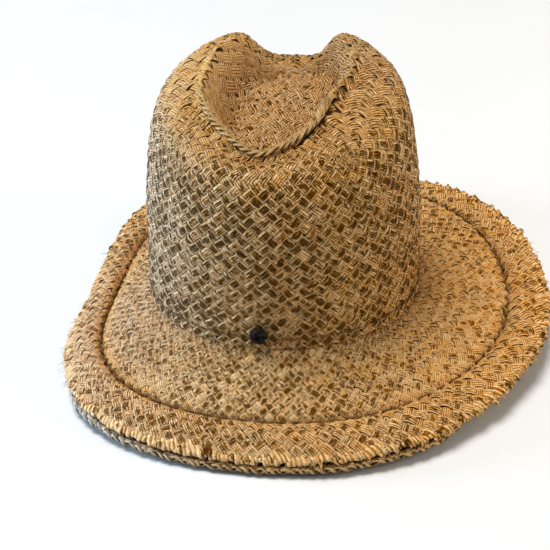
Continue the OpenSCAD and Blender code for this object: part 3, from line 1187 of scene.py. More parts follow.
    def weather_and_shade(self, numbers: Dict[str, Array], angle: Array, row: Array, crease: Array) -> None:
        """Colours the zones of the crown: stain and tone, with painted light and shade in some zones.

        Args:
            numbers: The strands' numbers, which are changed.
            angle: Angle round the hat, (strands, steps).
            row: Row, shaped like angle.
            crease: How far each step lies in the crease outside the lip.
        """
        dent = ease(*self.dent_rows, row)
        deep = ease(8.8, 9.5, row) * ease(10.9, 10.2, row) * bell(angle, 285.0, 55.0)
        # Painted shade: less in the flatter dent, more in the crease outside the lip and deep in the dent's
        # front.
        numbers["depth"] = numbers["depth"] + (0.9 - numbers["depth"]) * 0.9 * dent
        numbers["depth"] = numbers["depth"] * (1.0 - 0.85 * crease) * (1.0 - 0.35 * deep)
        top = ease(4.2, 5.2, row) * (1.0 - 0.6 * bell(angle, 270.0, 32.0) * ease(7.0, 6.0, row))
        front = ease(4.2, 4.9, row) * ease(6.9, 6.4, row) * bell(angle, 305.0, 65.0)
        hump = ease(4.0, 4.9, row) * ease(9.0, 8.2, row)
        left, front_left = bell(angle, 30.0, 45.0), bell(angle, 335.0, 40.0)
        Zone(stain=0.35).colour(numbers, ease(4.6, 3.8, row))
        # Lighter, less stained and warmer top: partly cleaner straw and partly painted light from above,
        # weaker at the front.
        Zone(tone=0.35, stain=-0.4).colour(numbers, top)
        Zone(warm=0.35).colour(numbers, top * ease(8.5, 6.5, row) * (1.0 - left))
        Zone(tone=-0.5).colour(numbers, front)
        Zone(tone=-1.1, stain=-0.45, grey=0.08).colour(numbers, hump * left)
        Zone(tone=1.5, stain=-0.65).colour(numbers, hump * bell(angle, 165.0, 55.0))
        # Lighter crest: a painted highlight along the ridge.
        Zone(tone=0.6).colour(numbers, np.exp(-((row - 7.0) / 0.4) ** 2))
        # Darker tone in the dent, with less stain: painted shade in its hollow.
        Zone(tone=-1.2, stain=-0.3, grey=0.04).colour(numbers, dent)
        # Painted shade deep in the dent's front, carried as more stain.
        Zone(stain=0.3).colour(numbers, deep)
        Zone(warm=0.5).colour(numbers, crease)
        Zone(stain=-0.18).colour(numbers, front_left)
        # Warmer on the wearer's left front: painted warm light.
        Zone(warm=0.25).colour(numbers, front_left * ease(5.2, 4.2, row))
        # Greyer on the wearer's right: partly weathering and partly a painted cool sheen.
        Zone(grey=0.44).colour(numbers, bell(angle, 203.0, 50.0) * ease(6.6, 2.6, row))

    def lip(self) -> Net:
        """Three strands that twist round each other along the crest's front.

        They thin out and sink into the plait at both ends.

        Returns:
            The lip's strands.
        """
        steps = 300
        t = np.linspace(0.0, 1.0, steps)[None] + np.zeros((3, 1))
        angle = np.radians(self.lip_from + self.lip_sweep * t)
        p, by_angle, by_row = self.frame_at(angle, np.full(t.shape, self.crest_row))
        up, inward = unit(np.cross(by_angle, by_row)), unit(by_row)
        along = lengths(p)
        rng = np.random.default_rng(23)
        turn = TURN * (along / self.lip_lay + np.arange(3)[:, None] / 3.0)
        turn = turn + 0.35 * waves(rng, 1, along[:1], 25.0)
        fade = ease(0.0, 0.2, t) * ease(0.98, 0.8, t)
        height = self.lip_r * fade * np.cos(turn) - self.lip_sink * (1.0 - fade) - 0.1
        middle = (p + up * height[..., None]
                  + inward * (1.15 * self.lip_r * fade * np.sin(turn))[..., None])
        half = (0.5 + 1.0 * fade) * (1.0 + 0.15 * np.clip(waves(rng, 3, along, 17.0), -1.0, 1.0))
        # Painted shade: depth falls where a strand turns under the others.
        numbers = {"tone": 0.5 + 0.4 * np.clip(waves(rng, 3, along, 21.0), -1.0, 1.0),
                   "stain": ease(0.4, 1.4, waves(rng, 3, along, 9.0)) * 0.8 - 0.2,
                   "depth": 0.55 + 0.45 * np.cos(turn)}
        return strands(middle, up, half, ROUND, None, 0.75, laid(along), numbers)

    def backing(self) -> Net:
        """Closed shell just under the strands, from the mouth to the middle of the dent.

        Returns:
            The shell, with a small cap in the middle.
        """
        rows, logs = self.radial_table()
        end = self.form.last_row
        row = np.concatenate([np.linspace(0.0, end - 0.4, 120), end - np.array([0.25, 0.12, 0.04, 0.01])])
        angle = TURN * np.arange(180) / 180
        a, r = np.meshgrid(angle, row)
        net, by_angle, by_row = self.frame_at(a, r)
        up = unit(np.cross(by_angle, by_row))
        scale = self.strand_count / TURN / 2.0
        place = -np.interp(r, rows, logs)
        lay = np.stack([(place + a) * scale, (place - a) * scale], -1)
        outer, inner = self.backing_depths
        made = shell(net - outer * up, net - inner * up, lay)
        last, m = len(row) - 1, len(angle)
        made.quads = made.quads[:-m]
        made.caps = [(last * m + np.arange(m))[None], (len(net) * m + last * m + np.arange(m))[None, ::-1]]
        return made

    def build(self, dresser: Dresser) -> List[bpy.types.Object]:
        """Builds and dresses the crown.

        Args:
            dresser: Holds the finishes.

        Returns:
            The backing, the strand groups and the lip.
        """
        back = dresser.dress(self.backing().piece("crown_backing"), Finish.CROWN_BACK)
        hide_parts("crown")
        pieces = [back]
        for k, part in enumerate(self.plait().split(self.strand_count, self.groups)):
            pieces.append(dresser.dress(part.piece(f"crown_strands_{k + 1}"), Finish.CROWN))
        pieces.append(dresser.dress(self.lip().piece("crown_lip_strands"), Finish.CROWN))
        for piece in pieces:
            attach(piece, "root")
        return pieces


@dataclass
class Brim:
    """Both plies of the brim, with the folded edge, the frayed ends and the tufts.

    The tufts, and the middle and width of the side with less stain and of the side that is greyer from
    weathering and a painted cool sheen, are in degrees.
    """

    form: HatForm
    strand_count: int = 106
    amplitude: float = 0.82
    sink: float = 0.78
    fill: float = 0.87
    uneven: Unevenness = Unevenness((0.06, 35.0), (0.06, 45.0), (0.2, 25.0))
    full_spacing: float = 5.5
    thickness_range: Tuple[float, float] = (0.6, 1.2)
    end_inset: float = 1.6
    ridge_shares: Tuple[float, float] = (1.0, 1.2)
    ridge_wider: float = 0.1
    ridge_lift: float = 0.2
    per_float: int = 10
    groups: int = 2
    backing_around: int = 240
    backing_depth: float = 0.95
    backing_skin: float = 0.05
    backing_row_step: float = 0.012
    under_backing_depth: float = 0.65
    stained: float = 0.62
    hollow_w: float = 5.0
    hollow_flat: float = 0.55
    line_w: float = 1.6
    line_flat: float = 0.6
    line_sink: float = 0.5
    fold_count: int = 124
    fold_reach: Tuple[float, float] = (1.8, 6.0)
    fold_radius: Tuple[float, float] = (0.8, 1.6)
    fold_back: Tuple[float, float] = (3.0, 5.0)
    fold_lean: Tuple[float, float] = (0.45, 1.3)
    fold_out: Tuple[float, float] = (-0.9, 0.8)
    fold_lap: Tuple[float, float] = (0.95, 1.8)
    edge_radius: float = 140.0
    right_side: Tuple[float, float] = (195.0, 45.0)
    grey_and_sheen_side: Tuple[float, float] = (205.0, 45.0)
    fray_count: int = 170
    fibre_inset: Tuple[float, float] = (2.0, 18.0)
    fibre_lean: float = 0.9
    fibre_length: Tuple[float, float] = (2.0, 6.5)
    fibre_half: Tuple[float, float] = (0.16, 0.42)
    tufts: Tuple[float, ...] = (346.0, 338.0, 330.0, 322.0, 314.0, 288.0, 196.0)
    tuft_count: int = 10
    tuft_spread: float = 2.5
    tuft_stout: float = 2.4

    def frame_at(self, angle: Array, share: Array, under: bool) -> Tuple[Array, Array, Array]:
        """Points of a ply with their steps by angle and by share, from central differences.

        Args:
            angle: Angle round the hat.
            share: Place across the brim, shaped like angle.
            under: True for the lower ply.

        Returns:
            Points, change by angle and change by share.
        """
        return with_steps(lambda a, q: self.form.brim(a, q, under), angle, share, 2e-3)

    def share_table(self, under: bool) -> Tuple[Array, Array]:
        """Place across the brim against s, where ds = |step by share| / |step by angle|.

        Args:
            under: True for the lower ply.

        Returns:
            The even steps of s, and the table (angles, steps) of shares.
        """
        angle = np.linspace(0.0, TURN, 361)
        share = np.linspace(-0.05, 2.0, 240)
        a, q = np.meshgrid(angle, share, indexing="ij")
        _, by_angle, by_share = self.frame_at(a, q, under)
        rate = np.linalg.norm(by_share, axis=-1) / np.linalg.norm(by_angle, axis=-1)
        s = np.cumsum(rate, axis=1) * (share[1] - share[0])
        s = s - np.stack([np.interp(0.0, share, r) for r in s])[:, None]
        even = np.linspace(s[:, 0].max(), s.max() * 1.02, 300)
        return even, np.stack([np.interp(even, r, share, right=9.0) for r in s])

    @staticmethod
    def look_up(angle: Array, s: Array, even: Array, table: Array) -> Array:
        """Place across the brim from the table, by straight lines between its entries.

        Args:
            angle: Angle round the hat.
            s: Place along the table's steps, shaped like angle.
            even: The even steps of s.
            table: Table (angles, steps) of shares.

        Returns:
            Shares, shaped like angle.
        """
        i = np.mod(angle, TURN) / TURN * (len(table) - 1.0)
        j = np.clip((s - even[0]) / (even[1] - even[0]), 0.0, len(even) - 1.001)
        i0, j0 = i.astype(int), j.astype(int)
        fi, fj = i - i0, j - j0
        return ((1 - fi) * ((1 - fj) * table[i0, j0] + fj * table[i0, j0 + 1])
                + fi * ((1 - fj) * table[i0 + 1, j0] + fj * table[i0 + 1, j0 + 1]))

    def plait(self, hand: int, under: bool) -> Net:
        """Weaves the strands of one hand, the lines angle - hand * s = constant.

        Their height is hand * amplitude * cos(turn * s / pitch), so that every crossing meets one
        strand at its top and one at its bottom. On the margin the strands of one hand are wider
        and lie higher than those of the other.

        Args:
            hand: 1 for strands that lean one way and -1 for the other.
            under: True for the lower ply, which is woven on its lower face.

        Returns:
            The strands.
        """
        even, table = self.share_table(under)
        pitch = TURN / self.strand_count
        per = self.per_float // 2 if under else self.per_float
        s = np.arange(even[0], even[-1], pitch / per)[None] + np.zeros((self.strand_count, 1))
        angle = np.arange(self.strand_count)[:, None] * pitch + hand * s
        share = self.look_up(angle, s, even, table)
        end = 2.0 - self.end_inset / self.form.brim_value(angle, 1)
        valid = np.cumsum(share > end, axis=1) == 0
        share = np.minimum(share, 2.05)
        p, by_angle, by_share = self.frame_at(angle, share, under)
        rate = np.linalg.norm(by_angle, axis=-1) / np.linalg.norm(by_share, axis=-1)
        by_s = by_share * rate[..., None]
        up = unit(np.cross(by_share, by_angle))
        run = np.linalg.norm(hand * by_angle + by_s, axis=-1)
        spacing = pitch * np.linalg.norm(np.cross(by_angle, by_s), axis=-1) / run
        phase = s / pitch + (0.0 if hand > 0 else 0.5)
        rng = np.random.default_rng(31 + hand + 7 * under)
        p, along, width, high = self.uneven.vary(rng, p, up, spacing)
        ridge = hand * ease(*self.ridge_shares, share)
        half = 0.5 * self.fill * spacing * (width + self.ridge_wider * ridge)
        groove, line = self.groove_shares(angle, share)
        lift = self.amplitude * np.cos(TURN * phase) * high
        lift = lift * (1.0 - self.hollow_flat * groove) * (1.0 - self.line_flat * line)
        lift = lift + self.ridge_lift * ridge - self.line_sink * line
        numbers = Plait(51 + hand + 7 * under, self.stained).floats(phase)
        self.weather_and_shade(numbers, angle, share)
        if under:
            up, lift = -up, lift + self.form.ply - self.sink
        else:
            lift = lift - self.sink
        thick = np.clip(spacing / self.full_spacing, *self.thickness_range)
        section = FLAT if under else RIBBED
        return strands(p + up * lift[..., None], up, half, section, valid, thick, laid(along), numbers)

    def groove_shares(self, angle: Array, share: Array) -> Tuple[Array, Array]:
        """The soft hollow and the line of the groove, both bells of the distance from it; the line carries a
        painted shadow.

        The hollow is plainest on the wearer's right. The line fades out left of the front.

        Args:
            angle: Angle round the hat.
            share: Place across the brim, shaped like angle.

        Returns:
            How far each step lies in the hollow and in the line, from 0 to 1.
        """
        away = (share - 1.0) * self.form.brim_value(angle, 0)
        hollow = np.exp(-(away / self.hollow_w) ** 2) * (0.25 + 0.75 * bell(angle, 200.0, 50.0))
        plain = np.clip(0.45 + 0.5 * bell(angle, 5.0, 60.0) + 0.5 * bell(angle, 200.0, 45.0), 0.0, 1.0)
        line = np.exp(-(away / self.line_w) ** 2) * plain * (1.0 - 0.85 * bell(angle, 316.0, 26.0))
        return hollow, line

    def weather_and_shade(self, numbers: Dict[str, Array], angle: Array, share: Array) -> None:
        """Colours the zones of the brim: stain and tone, with painted light and shade in some zones.

        Args:
            numbers: The strands' numbers, which are changed.
            angle: Angle round the hat, (strands, steps).
            share: Place across the brim, shaped like angle.
        """
        groove, line = self.groove_shares(angle, share)
        front, slope = bell(angle, 270.0, 45.0), ease(1.1, 0.9, share)
        margin, edge = ease(1.0, 1.15, share), ease(1.75, 1.95, share)
        right, left = bell(angle, *self.right_side), bell(angle, 0.0, 45.0)
        sides = bell(angle, 0.0, 50.0) + right
        even = np.minimum(0.7 * groove + 0.4 * sides, 1.0)
        # Painted shade: evened out in the groove and on the sides, and a painted shadow darkens the groove's
        # line.
        numbers["depth"] = numbers["depth"] + (0.85 - numbers["depth"]) * even
        numbers["depth"] = numbers["depth"] * (1.0 - 0.9 * line)
        Zone(stain=-0.8, warm=0.6).colour(numbers, groove)
        Zone(stain=-0.3).colour(numbers, edge)
        Zone(stain=-0.4).colour(numbers, front * edge)
        Zone(tone=1.2).colour(numbers, front * ease(1.7, 1.92, share))
        # Lighter front slope: painted light where the crown's shadow falls, with a little more stain.
        Zone(tone=2.3, stain=0.2).colour(numbers, front * slope)
        Zone(stain=-0.2).colour(numbers, sides)
        Zone(tone=-0.4).colour(numbers, left)
        Zone(tone=-0.8).colour(numbers, left * margin)
        # Warmer on the wearer's left: painted warm light.
        Zone(warm=0.5).colour(numbers, bell(angle, 5.0, 70.0))
        Zone(stain=-0.38).colour(numbers, bell(angle, 345.0, 40.0))
        Zone(tone=1.0).colour(numbers, bell(angle, 345.0, 50.0))
        Zone(stain=-0.35).colour(numbers, right * margin)
        # Darker on the wearer's right, where the left lamp falls: painted shade.
        Zone(tone=-2.0).colour(numbers, bell(angle, 200.0, 45.0))
        # Greyer on the wearer's right: partly weathering and partly a painted cool sheen.
        Zone(grey=0.27).colour(numbers, bell(angle, *self.grey_and_sheen_side) * (1.0 - groove))

    def top_backing(self) -> Net:
        """Shell under the upper ply's strands, from the edge in and up the collar in the crown.

        Returns:
            The closed shell.
        """
        form = self.form
        angle = TURN * np.arange(self.backing_around) / self.backing_around
        share = np.concatenate([np.linspace(1.985, 1.0, 26), np.linspace(0.985, 0.0, 30)])
        a, q = np.meshgrid(angle, share)
        slope = form.brim(a, q)
        corner = form.head_z(form.wall_b * np.sin(angle)) - form.mouth_drop
        bend = np.radians([60.0, 30.0, 0.0])[:, None] + 0.0 * angle
        reach = form.collar_r + form.corner_r * (1.0 - np.cos(bend))
        arc = np.stack([(form.wall_a + reach) * np.cos(angle), (form.wall_b + reach) * np.sin(angle),
                        corner + form.corner_r * (1.0 - np.sin(bend))], -1)
        rise = np.array([0.5, 1.0])[:, None] * form.collar_h
        top = np.stack([(form.wall_a + form.collar_r) * np.cos(angle) + 0.0 * rise,
                        (form.wall_b + form.collar_r) * np.sin(angle) + 0.0 * rise,
                        form.head_z(form.wall_b * np.sin(angle)) + rise], -1)
        net = np.concatenate([slope, arc, top])
        up = ring_normals(net)
        flat = np.concatenate([np.full(len(share), self.backing_depth), np.zeros(5)])[:, None, None]
        lay = self.backing_lay(len(net), angle)
        return shell(net - flat * up, net - (form.ply - self.backing_skin) * up, lay)

    def under_backing(self) -> Net:
        """Shell over the lower ply's strands.

        Returns:
            The closed shell.
        """
        angle = TURN * np.arange(self.backing_around) / self.backing_around
        share = np.concatenate([np.linspace(1.97, 1.0, 26), np.linspace(0.985, 0.08, 26)])
        net = self.form.brim(*np.meshgrid(angle, share), under=True)
        up = ring_normals(net)
        lay = self.backing_lay(len(net), angle)
        return shell(net - self.backing_skin * up, net - self.under_backing_depth * up, lay)

    def backing_lay(self, rows: int, angle: Array) -> Array:
        """Map of a backing, with the strands' diagonals as its two directions.

        Args:
            rows: Number of rows of the backing.
            angle: Angles round the hat.

        Returns:
            The map, (rows, angles, 2).
        """
        place = np.arange(rows)[:, None] * self.backing_row_step + 0.0 * angle
        scale = self.strand_count / TURN / 2.0
        return np.stack([(place + angle) * scale, (place - angle) * scale], -1)

    def folds(self) -> Net:
        """Strand ends folded over the upper ply's edge, most lapping over their neighbours.

        Each follows a flat run on the upper face, a half circle round the edge and a run back
        under it, and leans along the edge on its way.

        Returns:
            The folds.
        """
        rng = np.random.default_rng(77)
        n, steps = self.fold_count, 20
        t = np.linspace(0.0, 1.0, steps)[None]
        reach = rng.uniform(*self.fold_reach, (n, 1))
        radius = rng.uniform(*self.fold_radius, (n, 1))
        back = rng.uniform(*self.fold_back, (n, 1))
        d = t * (reach + math.pi * radius + back)
        bend = np.clip((d - reach) / radius, 0.0, math.pi)
        out = np.where(d < reach, d - reach, np.where(bend < math.pi, radius * np.sin(bend),
                                                      -(d - reach - math.pi * radius)))
        rise = radius * (np.cos(bend) - 1.0) - 1.2 * ease(0.3, 0.0, t) - 0.6 * ease(0.8, 1.0, t)
        spacing = TURN / n
        angle = (np.arange(n)[:, None] + rng.uniform(-0.2, 0.2, (n, 1))) * spacing
        run = np.maximum(reach - d, 0.0)
        past = 0.5 * np.maximum(d - reach, 0.0)
        lean = rng.uniform(*self.fold_lean, (n, 1)) * (1.0 - 0.75 * bell(angle, *self.right_side))
        angle = angle - lean * (run * run / (run + 0.8) - past) / self.edge_radius
        share = 2.0 + (np.minimum(out, 0.0) - 1.0) / self.form.brim_value(angle, 1)
        p, by_angle, by_share = self.frame_at(angle, share, False)
        up, outward = unit(np.cross(by_share, by_angle)), unit(by_share)
        past_edge = np.maximum(out, 0.0) + rng.uniform(*self.fold_out, (n, 1))
        p = p + outward * past_edge[..., None] + up * (rise + 0.2)[..., None]
        around = unit(by_angle)
        top = unit(up * np.cos(bend)[..., None] + outward * np.sin(bend)[..., None] + 0.04 * around)
        width = 0.5 * np.linalg.norm(by_angle, axis=-1) * spacing * rng.uniform(*self.fold_lap, (n, 1))
        taper = np.sqrt(np.clip(np.minimum(0.35 + t / 0.25, (1.0 - t) / 0.1), 0.08, 1.0))
        blank = np.zeros((n, steps))
        # Folds: warmer on the wearer's left as painted warm light, greyer on the right partly by weathering
        # and partly painted cool sheen, and painted shade where each turns under the edge.
        numbers = {"tone": rng.uniform(-1.2, 1.0, (n, 1)) + 1.2 * bell(angle, 270.0, 40.0),
                   "grey": 0.2 * bell(angle, *self.grey_and_sheen_side),
                   "stain": (rng.normal(0.35, 0.5, (n, 1)) - 8.0 * (t - 0.3) ** 2
                             - 0.5 * bell(angle, 285.0, 60.0) - 0.5 * bell(angle, *self.right_side)),
                   "warm": rng.uniform(0.1, 0.5, (n, 1)) + 0.35 * bell(angle, 5.0, 75.0),
                   "depth": 1.0 - 0.35 * ease(0.55, 1.0, t) + blank}
        thick = 1.2 + 0.5 * bell(angle, 200.0, 25.0)
        return strands(p, top, width * taper, RIBBED, None, thick, None, numbers)

    def fray(self) -> Net:
        """Thin loose fibres that stand out of the edge and of the margin, and stouter tufts.

        Each is straight in plan, bends a little up or down, and tapers to a point. A third of them
        start farther in than the edge.

        Returns:
            The fibres.
        """
        rng = np.random.default_rng(91)
        spots = np.radians(rng.normal(np.repeat(self.tufts, self.tuft_count), self.tuft_spread))
        n, steps = self.fray_count + len(spots), 7
        t = np.linspace(0.0, 1.0, steps)[None]
        angle = np.concatenate([rng.uniform(0.0, TURN, self.fray_count), spots])[:, None] + 0.0 * t
        inside = rng.choice([0.0, 0.0, 1.0], (n, 1)) * rng.uniform(*self.fibre_inset, (n, 1))
        share = 2.0 - (0.8 + inside) / self.form.brim_value(angle, 1)
        p, by_angle, by_share = self.frame_at(angle, share, False)
        up, outward = unit(np.cross(by_share, by_angle)), unit(by_share)
        around = unit(by_angle)
        stout = 1.0 + self.tuft_stout * (np.arange(n)[:, None] >= self.fray_count)
        length = rng.uniform(*self.fibre_length, (n, 1))
        lean = rng.uniform(-self.fibre_lean, self.fibre_lean, (n, 1))
        lift = rng.uniform(-0.25, 0.35, (n, 1)) * t + rng.uniform(-0.1, 0.25, (n, 1)) * t * t
        p = p + length[..., None] * (outward * t[..., None] + around * (lean * t)[..., None]
                                     + up * lift[..., None])
        half = rng.uniform(*self.fibre_half, (n, 1)) * stout * (1.0 - 0.85 * t)
        blank = np.zeros((n, steps))
        numbers = {"tone": rng.uniform(-0.6, 1.0, (n, 1)) + blank, "stain": blank - 0.5, "depth": blank + 1.0,
                   "warm": rng.uniform(0.0, 0.6, (n, 1)) + blank}
        return strands(p, up, half, FLAT, None, 0.5, None, numbers)

    def build(self, dresser: Dresser) -> List[bpy.types.Object]:
        """Builds and dresses both plies.

        Args:
            dresser: Holds the finishes.

        Returns:
            The backings, strands, folds and fibres.
        """
        top = dresser.dress(self.top_backing().piece("brim_top_backing"), Finish.BRIM_BACK)
        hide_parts("brim_top_ply")
        low = dresser.dress(self.under_backing().piece("brim_under_backing"), Finish.BRIM_BACK)
        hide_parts("brim_under_ply")
        upper, lower = [top], [low]
        for hand, word in ((1, "left"), (-1, "right")):
            for k, part in enumerate(self.plait(hand, False).split(self.strand_count, self.groups)):
                upper.append(dresser.dress(part.piece(f"brim_strands_{word}_{k + 1}"), Finish.BRIM))
            lower.append(dresser.dress(self.plait(hand, True).piece(f"under_strands_{word}"), Finish.UNDER))
        upper.append(dresser.dress(self.folds().piece("brim_edge_folds"), Finish.BRIM))
        upper.append(dresser.dress(self.fray().piece("brim_edge_fibres"), Finish.BRIM))
        for piece in upper + lower:
            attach(piece, "root")
            "brim_straw" if piece in upper else "under_straw"
        return upper + lower


@dataclass
class EdgeBraid:
    """Three-strand braid along the lower ply's edge, tucked under with it away from the front."""

    form: HatForm
    width: float = 5.0
    height: float = 5.2
    raised: float = 1.9
    turns: int = 62
    per_turn: int = 14
    edge_length: float = 1040.0
    strand_share: float = 0.27
    looseness: float = 0.8
    loose_waves: Tuple[int, ...] = (13, 29, 41, 58)
    unevenness: float = 0.28
    tuck_drop: float = 1.6
    grey_and_sheen_at: float = 222.0
    grey_and_sheen_w: float = 28.0

    def build(self, dresser: Dresser) -> List[bpy.types.Object]:
        """Each strand swings across as sin(a) and up and down as sin(2 a), a third of a turn apart.

        The lay and the thickness wander along the edge. The wearer's right is lighter and greyer, partly
        weathering and partly a painted cool sheen, and painted shade darkens each strand where it dips.

        Args:
            dresser: Holds the finishes.

        Returns:
            The braid.
        """
        n = self.turns * self.per_turn
        angle = (TURN * np.arange(n + 1) / n)[None] + np.zeros((3, 1))
        rng = np.random.default_rng(17)
        loose = sum(np.sin(k * angle + rng.uniform(0.0, TURN)) for k in self.loose_waves) / 2.0
        a = self.turns * angle + TURN * np.arange(3)[:, None] / 3.0 + self.looseness * loose
        edge = self.form.brim(angle, np.full(angle.shape, 2.0), under=True)
        way = np.stack([np.cos(angle), np.sin(angle), 0.0 * angle], -1)
        radius = self.strand_share * self.width
        along = laid(self.edge_length * angle / TURN)
        fat = 1.0 + self.unevenness * np.clip(waves(rng, 3, along, 15.0), -1.2, 1.2)
        out = self.form.gap + self.width / 2 + (self.width / 2 - radius) * np.sin(a)
        middle = edge + way * out[..., None]
        middle[..., 2] += (self.height / 2 - 0.75 * radius) * np.sin(2 * a) - self.form.ply / 2 + self.raised
        # Greyer on the wearer's right: partly weathering and partly a painted cool sheen.
        grey = bell(angle, self.grey_and_sheen_at, self.grey_and_sheen_w)
        tucked = 1.0 - self.form.lower_free(angle)
        middle[..., 2] -= self.tuck_drop * tucked
        # Painted shade: depth falls where a strand dips.
        numbers = {"tone": np.clip(0.9 * waves(rng, 3, along, 19.0), -1.0, 1.0) - 0.9 + 1.9 * grey,
                   "stain": ease(-0.6, 1.0, waves(rng, 3, along, 7.0)) * 1.3 - 0.5 * grey,
                   "depth": 0.6 + 0.4 * np.sin(2 * a), "grey": grey, "warm": 0.45 * (1.0 - grey)}
        up = np.zeros(middle.shape) + np.array([0.0, 0.0, 1.0])
        half = 1.2 * radius * fat
        net = strands(middle, up, half, ROUND, None, 0.9 * radius * fat, along, numbers)
        piece = dresser.dress(net.piece("edge_braid_strands"), Finish.UNDER)
        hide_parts("edge_braid")
        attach(piece, "root")
        return [piece]


@dataclass
class HeadBand:
    """The cotton sweatband, its join and the seams."""

    form: HatForm
    height: float = 32.0
    thickness: float = 1.3
    band_out: float = 1.3
    stitch_count: int = 60
    stitch_draw: float = 0.12
    stitch_row: float = 0.16
    stitch_row_w: float = 0.1
    rim_lean: float = 0.2
    mean_radius: float = 92.0

    def build(self, dresser: Dresser) -> List[bpy.types.Object]:
        """The band is an oval wall whose rims roll over, drawn in a little between the stitches.

        Args:
            dresser: Holds the finishes.

        Returns:
            The band; the join and the seams keep their CAD shape and get their finish.
        """
        form = self.form
        angle = TURN * np.arange(360) / 360
        share = np.linspace(0.0, 1.0, 15)
        a, v = np.meshgrid(angle, share)
        seam = np.exp(-((v - self.stitch_row) / self.stitch_row_w) ** 2)
        drawn = self.stitch_draw * (1.0 + np.cos(self.stitch_count * a)) * seam
        out = self.band_out - form.wall_out - drawn - self.rim_lean * ease(0.85, 1.0, v)
        rise = form.head_z(form.wall_b * np.sin(a)) + self.height * v
        outer = np.stack([(form.wall_a + out) * np.cos(a), (form.wall_b + out) * np.sin(a), rise], -1)
        thick = self.thickness * (1.0 - 0.5 * np.maximum(ease(0.92, 1.0, v), ease(0.08, 0.0, v)))
        inner = outer - thick[..., None] * ring_normals(outer)
        lay = np.stack([a * self.mean_radius, v * self.height], -1)
        band = dresser.dress(shell(outer, inner, lay).piece("sweatband_cloth"), Finish.COTTON)
        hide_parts("sweatband")
        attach(band, "root")
        for node in ("crown_stitches", "groove_stitches", "sweatband_stitches"):
            dresser.dress(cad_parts[node], Finish.THREAD)
        dresser.dress(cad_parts["sweatband_join"], Finish.TAPE)
        return [band]


@dataclass
class FrontKnot:
    """The black cord tied at the crown's foot."""

    form: HatForm
    angle: float = math.radians(270.0)
    height: float = 10.0
    across: float = 11.5
    thickness: float = 6.0
    cord: float = 2.3
    winds: int = 3
    twists: int = 5
    looseness: float = 0.35
    loose_waves: int = 7
    tail_apart: float = 1.2
    tail_spread: float = 3.2
    tail_start: float = 1.0
    tail_drop: float = 3.0
    tail_bend: float = 2.2
    tail_out: float = 0.6
    tail_lean: float = 1.2

    def build(self, dresser: Dresser) -> List[bpy.types.Object]:
        """The knot's cord winds round a ring while it twists about it, and ends in two short tails.

        At share s of its length a tail has dropped by start + drop * s + bend * s^2. It spreads and
        leans in evenly.

        Args:
            dresser: Holds the finishes.

        Returns:
            The knot with its short tails.
        """
        way = self.form.wall_way(self.angle)
        side = np.array([-way[1], way[0], 0.0])
        rise = np.array([0.0, 0.0, 1.0])
        at = self.form.wall(self.angle, 0.0, self.height) + way * (self.form.gap + self.thickness / 2)
        tube = (self.thickness - self.cord) / 2
        ring = self.across / 2 - self.cord / 2 - tube * 0.8
        t = np.linspace(0.0, TURN, 241)[None]
        r = ring + tube * 0.85 * np.cos(self.twists * t) + self.looseness * np.sin(self.loose_waves * t + 1.0)
        wind = self.winds * t
        middle = (at + (r * np.cos(wind))[..., None] * side + (r * np.sin(wind))[..., None] * rise
                  + (tube * np.sin(self.twists * t))[..., None] * way)
        up = np.zeros(middle.shape) + way
        half = np.full(t.shape, self.cord / 2)
        wound = strands(middle, unit(up + 0.3 * rise), half, ROUND, None, self.cord / 2)
        s = np.linspace(0.0, 1.0, 9)[None] + np.zeros((2, 1))
        sign = np.array([[-1.0], [1.0]])
        drop = self.tail_drop * s + self.tail_bend * s * s + self.tail_start
        apart = sign * (self.tail_apart + self.tail_spread * s)
        tail = (at + apart[..., None] * side - drop[..., None] * rise
                + (self.tail_out - self.tail_lean * s)[..., None] * way)
        ends = strands(tail, np.zeros(tail.shape) + way, 0.5 * self.cord * (1.0 - 0.45 * s), ROUND, None,
                       self.cord * 0.45)
        piece = dresser.dress(joined([wound, ends]).piece("front_knot_cord"), Finish.CORD)
        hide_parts("front_knot")
        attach(piece, "root")
        return [piece]


@dataclass(frozen=True)
class Lamp:
    """A soft light, aimed at the hat: a disc in metres and watts, or a sun in radians and W/m2."""

    name: str
    place: Tuple[float, float, float]
    size: float
    power: float
    colour: Colour
    sun: bool = False


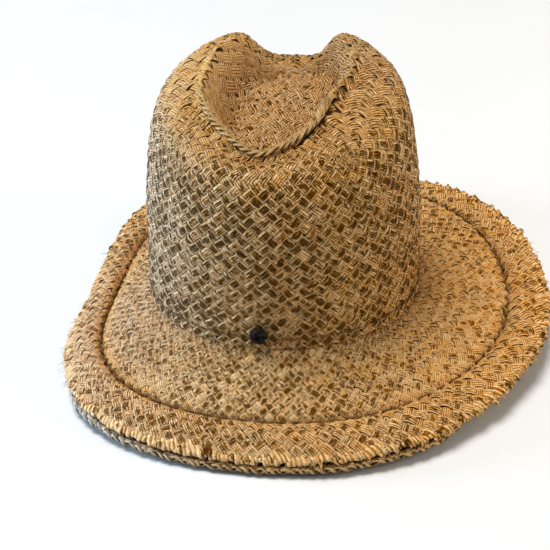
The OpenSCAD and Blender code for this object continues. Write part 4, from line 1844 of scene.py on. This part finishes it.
@dataclass
class Studio:
    """Floor, lights and camera.

    Lengths are in metres, the camera's angles and roll in degrees, its sensor in millimetres, and
    the picture and its centre in pixels.
    """

    floor_z: float
    floor_half: float = 6.0
    floor_points: int = 13
    surround: float = 0.18
    azimuth: float = 8.76
    elevation: float = 31.75
    distance: float = 0.932
    target: Tuple[float, float, float] = (0.0, 0.0, 0.007)
    metres_per_pixel: float = 0.000661
    centre: Tuple[float, float] = (285.5, 267.45)
    picture: float = 550.0
    roll: float = 0.62
    sensor: float = 36.0
    clip: Tuple[float, float] = (0.05, 60.0)
    lamps: Tuple[Lamp, ...] = (
        Lamp("top_lamp", (-0.25, 0.1, 1.0), 0.5, 2.55, (1.0, 0.95, 0.87), True),
        Lamp("left_lamp", (-1.2, -0.15, 0.12), 0.7, 18.0, (0.6, 0.83, 1.0)),
        Lamp("right_lamp", (1.3, -0.1, 0.6), 0.8, 6.0, (1.0, 0.84, 0.6)))

    def floor(self, dresser: Dresser) -> bpy.types.Object:
        """A wide flat sheet under the hat that isn't part of it.

        Args:
            dresser: Holds the finishes.

        Returns:
            The floor.
        """
        n = self.floor_points
        line = np.linspace(-self.floor_half, self.floor_half, n) / MM
        x, y = np.meshgrid(line, line)
        index = np.arange(n * n).reshape(n, n)
        quads = np.stack([index[:-1, :-1], index[:-1, 1:], index[1:, 1:], index[1:, :-1]], -1).reshape(-1, 4)
        points = np.stack([x, y, np.full(x.shape, self.floor_z / MM)], -1).reshape(-1, 3)
        made = dresser.dress(Net(points, quads).piece("floor"), Finish.FLOOR)
        made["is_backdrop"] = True
        return made

    def light(self) -> None:
        """Adds the lamps and an even pale surround."""
        world = bpy.data.worlds.new("surround")
        world.use_nodes = True
        back = world.node_tree.nodes["Background"]
        back.inputs["Color"].default_value = (1.0, 1.0, 1.0, 1.0)
        back.inputs["Strength"].default_value = self.surround
        bpy.context.scene.world = world
        bpy.context.scene.view_settings.view_transform = "Standard"
        for lamp in self.lamps:
            data = bpy.data.lights.new(lamp.name, "SUN" if lamp.sun else "AREA")
            if lamp.sun:
                data.angle = lamp.size
            else:
                data.shape, data.size = "DISK", lamp.size
            data.energy, data.color = lamp.power, lamp.colour
            made = bpy.data.objects.new(lamp.name, data)
            made.location = lamp.place
            made.rotation_euler = (-Vector(lamp.place)).to_track_quat("-Z", "Y").to_euler()
            bpy.context.scene.collection.objects.link(made)

    def camera(self) -> bpy.types.Object:
        """Camera at the photograph's angle, with its small shift and roll.

        Returns:
            The camera, which is the scene's own.
        """
        a, e = math.radians(self.azimuth), math.radians(self.elevation)
        back = Vector((math.sin(a) * math.cos(e), -math.cos(a) * math.cos(e), math.sin(e)))
        data = bpy.data.cameras.new("camera")
        data.sensor_fit, data.sensor_width = "HORIZONTAL", self.sensor
        data.lens = self.sensor * self.distance / self.metres_per_pixel / self.picture
        data.shift_x = (0.5 * self.picture - self.centre[0]) / self.picture
        data.shift_y = (self.centre[1] - 0.5 * self.picture) / self.picture
        data.clip_start, data.clip_end = self.clip
        made = bpy.data.objects.new("camera", data)
        aim = (-back).to_track_quat("-Z", "Y").to_matrix().to_4x4()
        spot = Vector(self.target) + back * self.distance
        made.matrix_world = Matrix.Translation(spot) @ aim @ Matrix.Rotation(-math.radians(self.roll), 4, "Z")
        bpy.context.scene.collection.objects.link(made)
        bpy.context.scene.camera = made
        return made


def main() -> None:
    """Builds the hat and its studio in order, with the floor under the lower of both boxes."""
    logging.basicConfig(level=logging.INFO)
    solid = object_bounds()
    form, dresser = HatForm(), Dresser()
    for assembly in (Crown(form), Brim(form), EdgeBraid(form), HeadBand(form), FrontKnot(form)):
        for piece in assembly.build(dresser):
            log.info("%s: %d faces", piece.name, len(piece.data.polygons))
    bpy.context.view_layer.update()
    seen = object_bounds()
    studio = Studio(min(solid[0][2], seen[0][2]))
    studio.floor(dresser)
    studio.light()
    studio.camera()


if __name__ == "__main__":
    main()
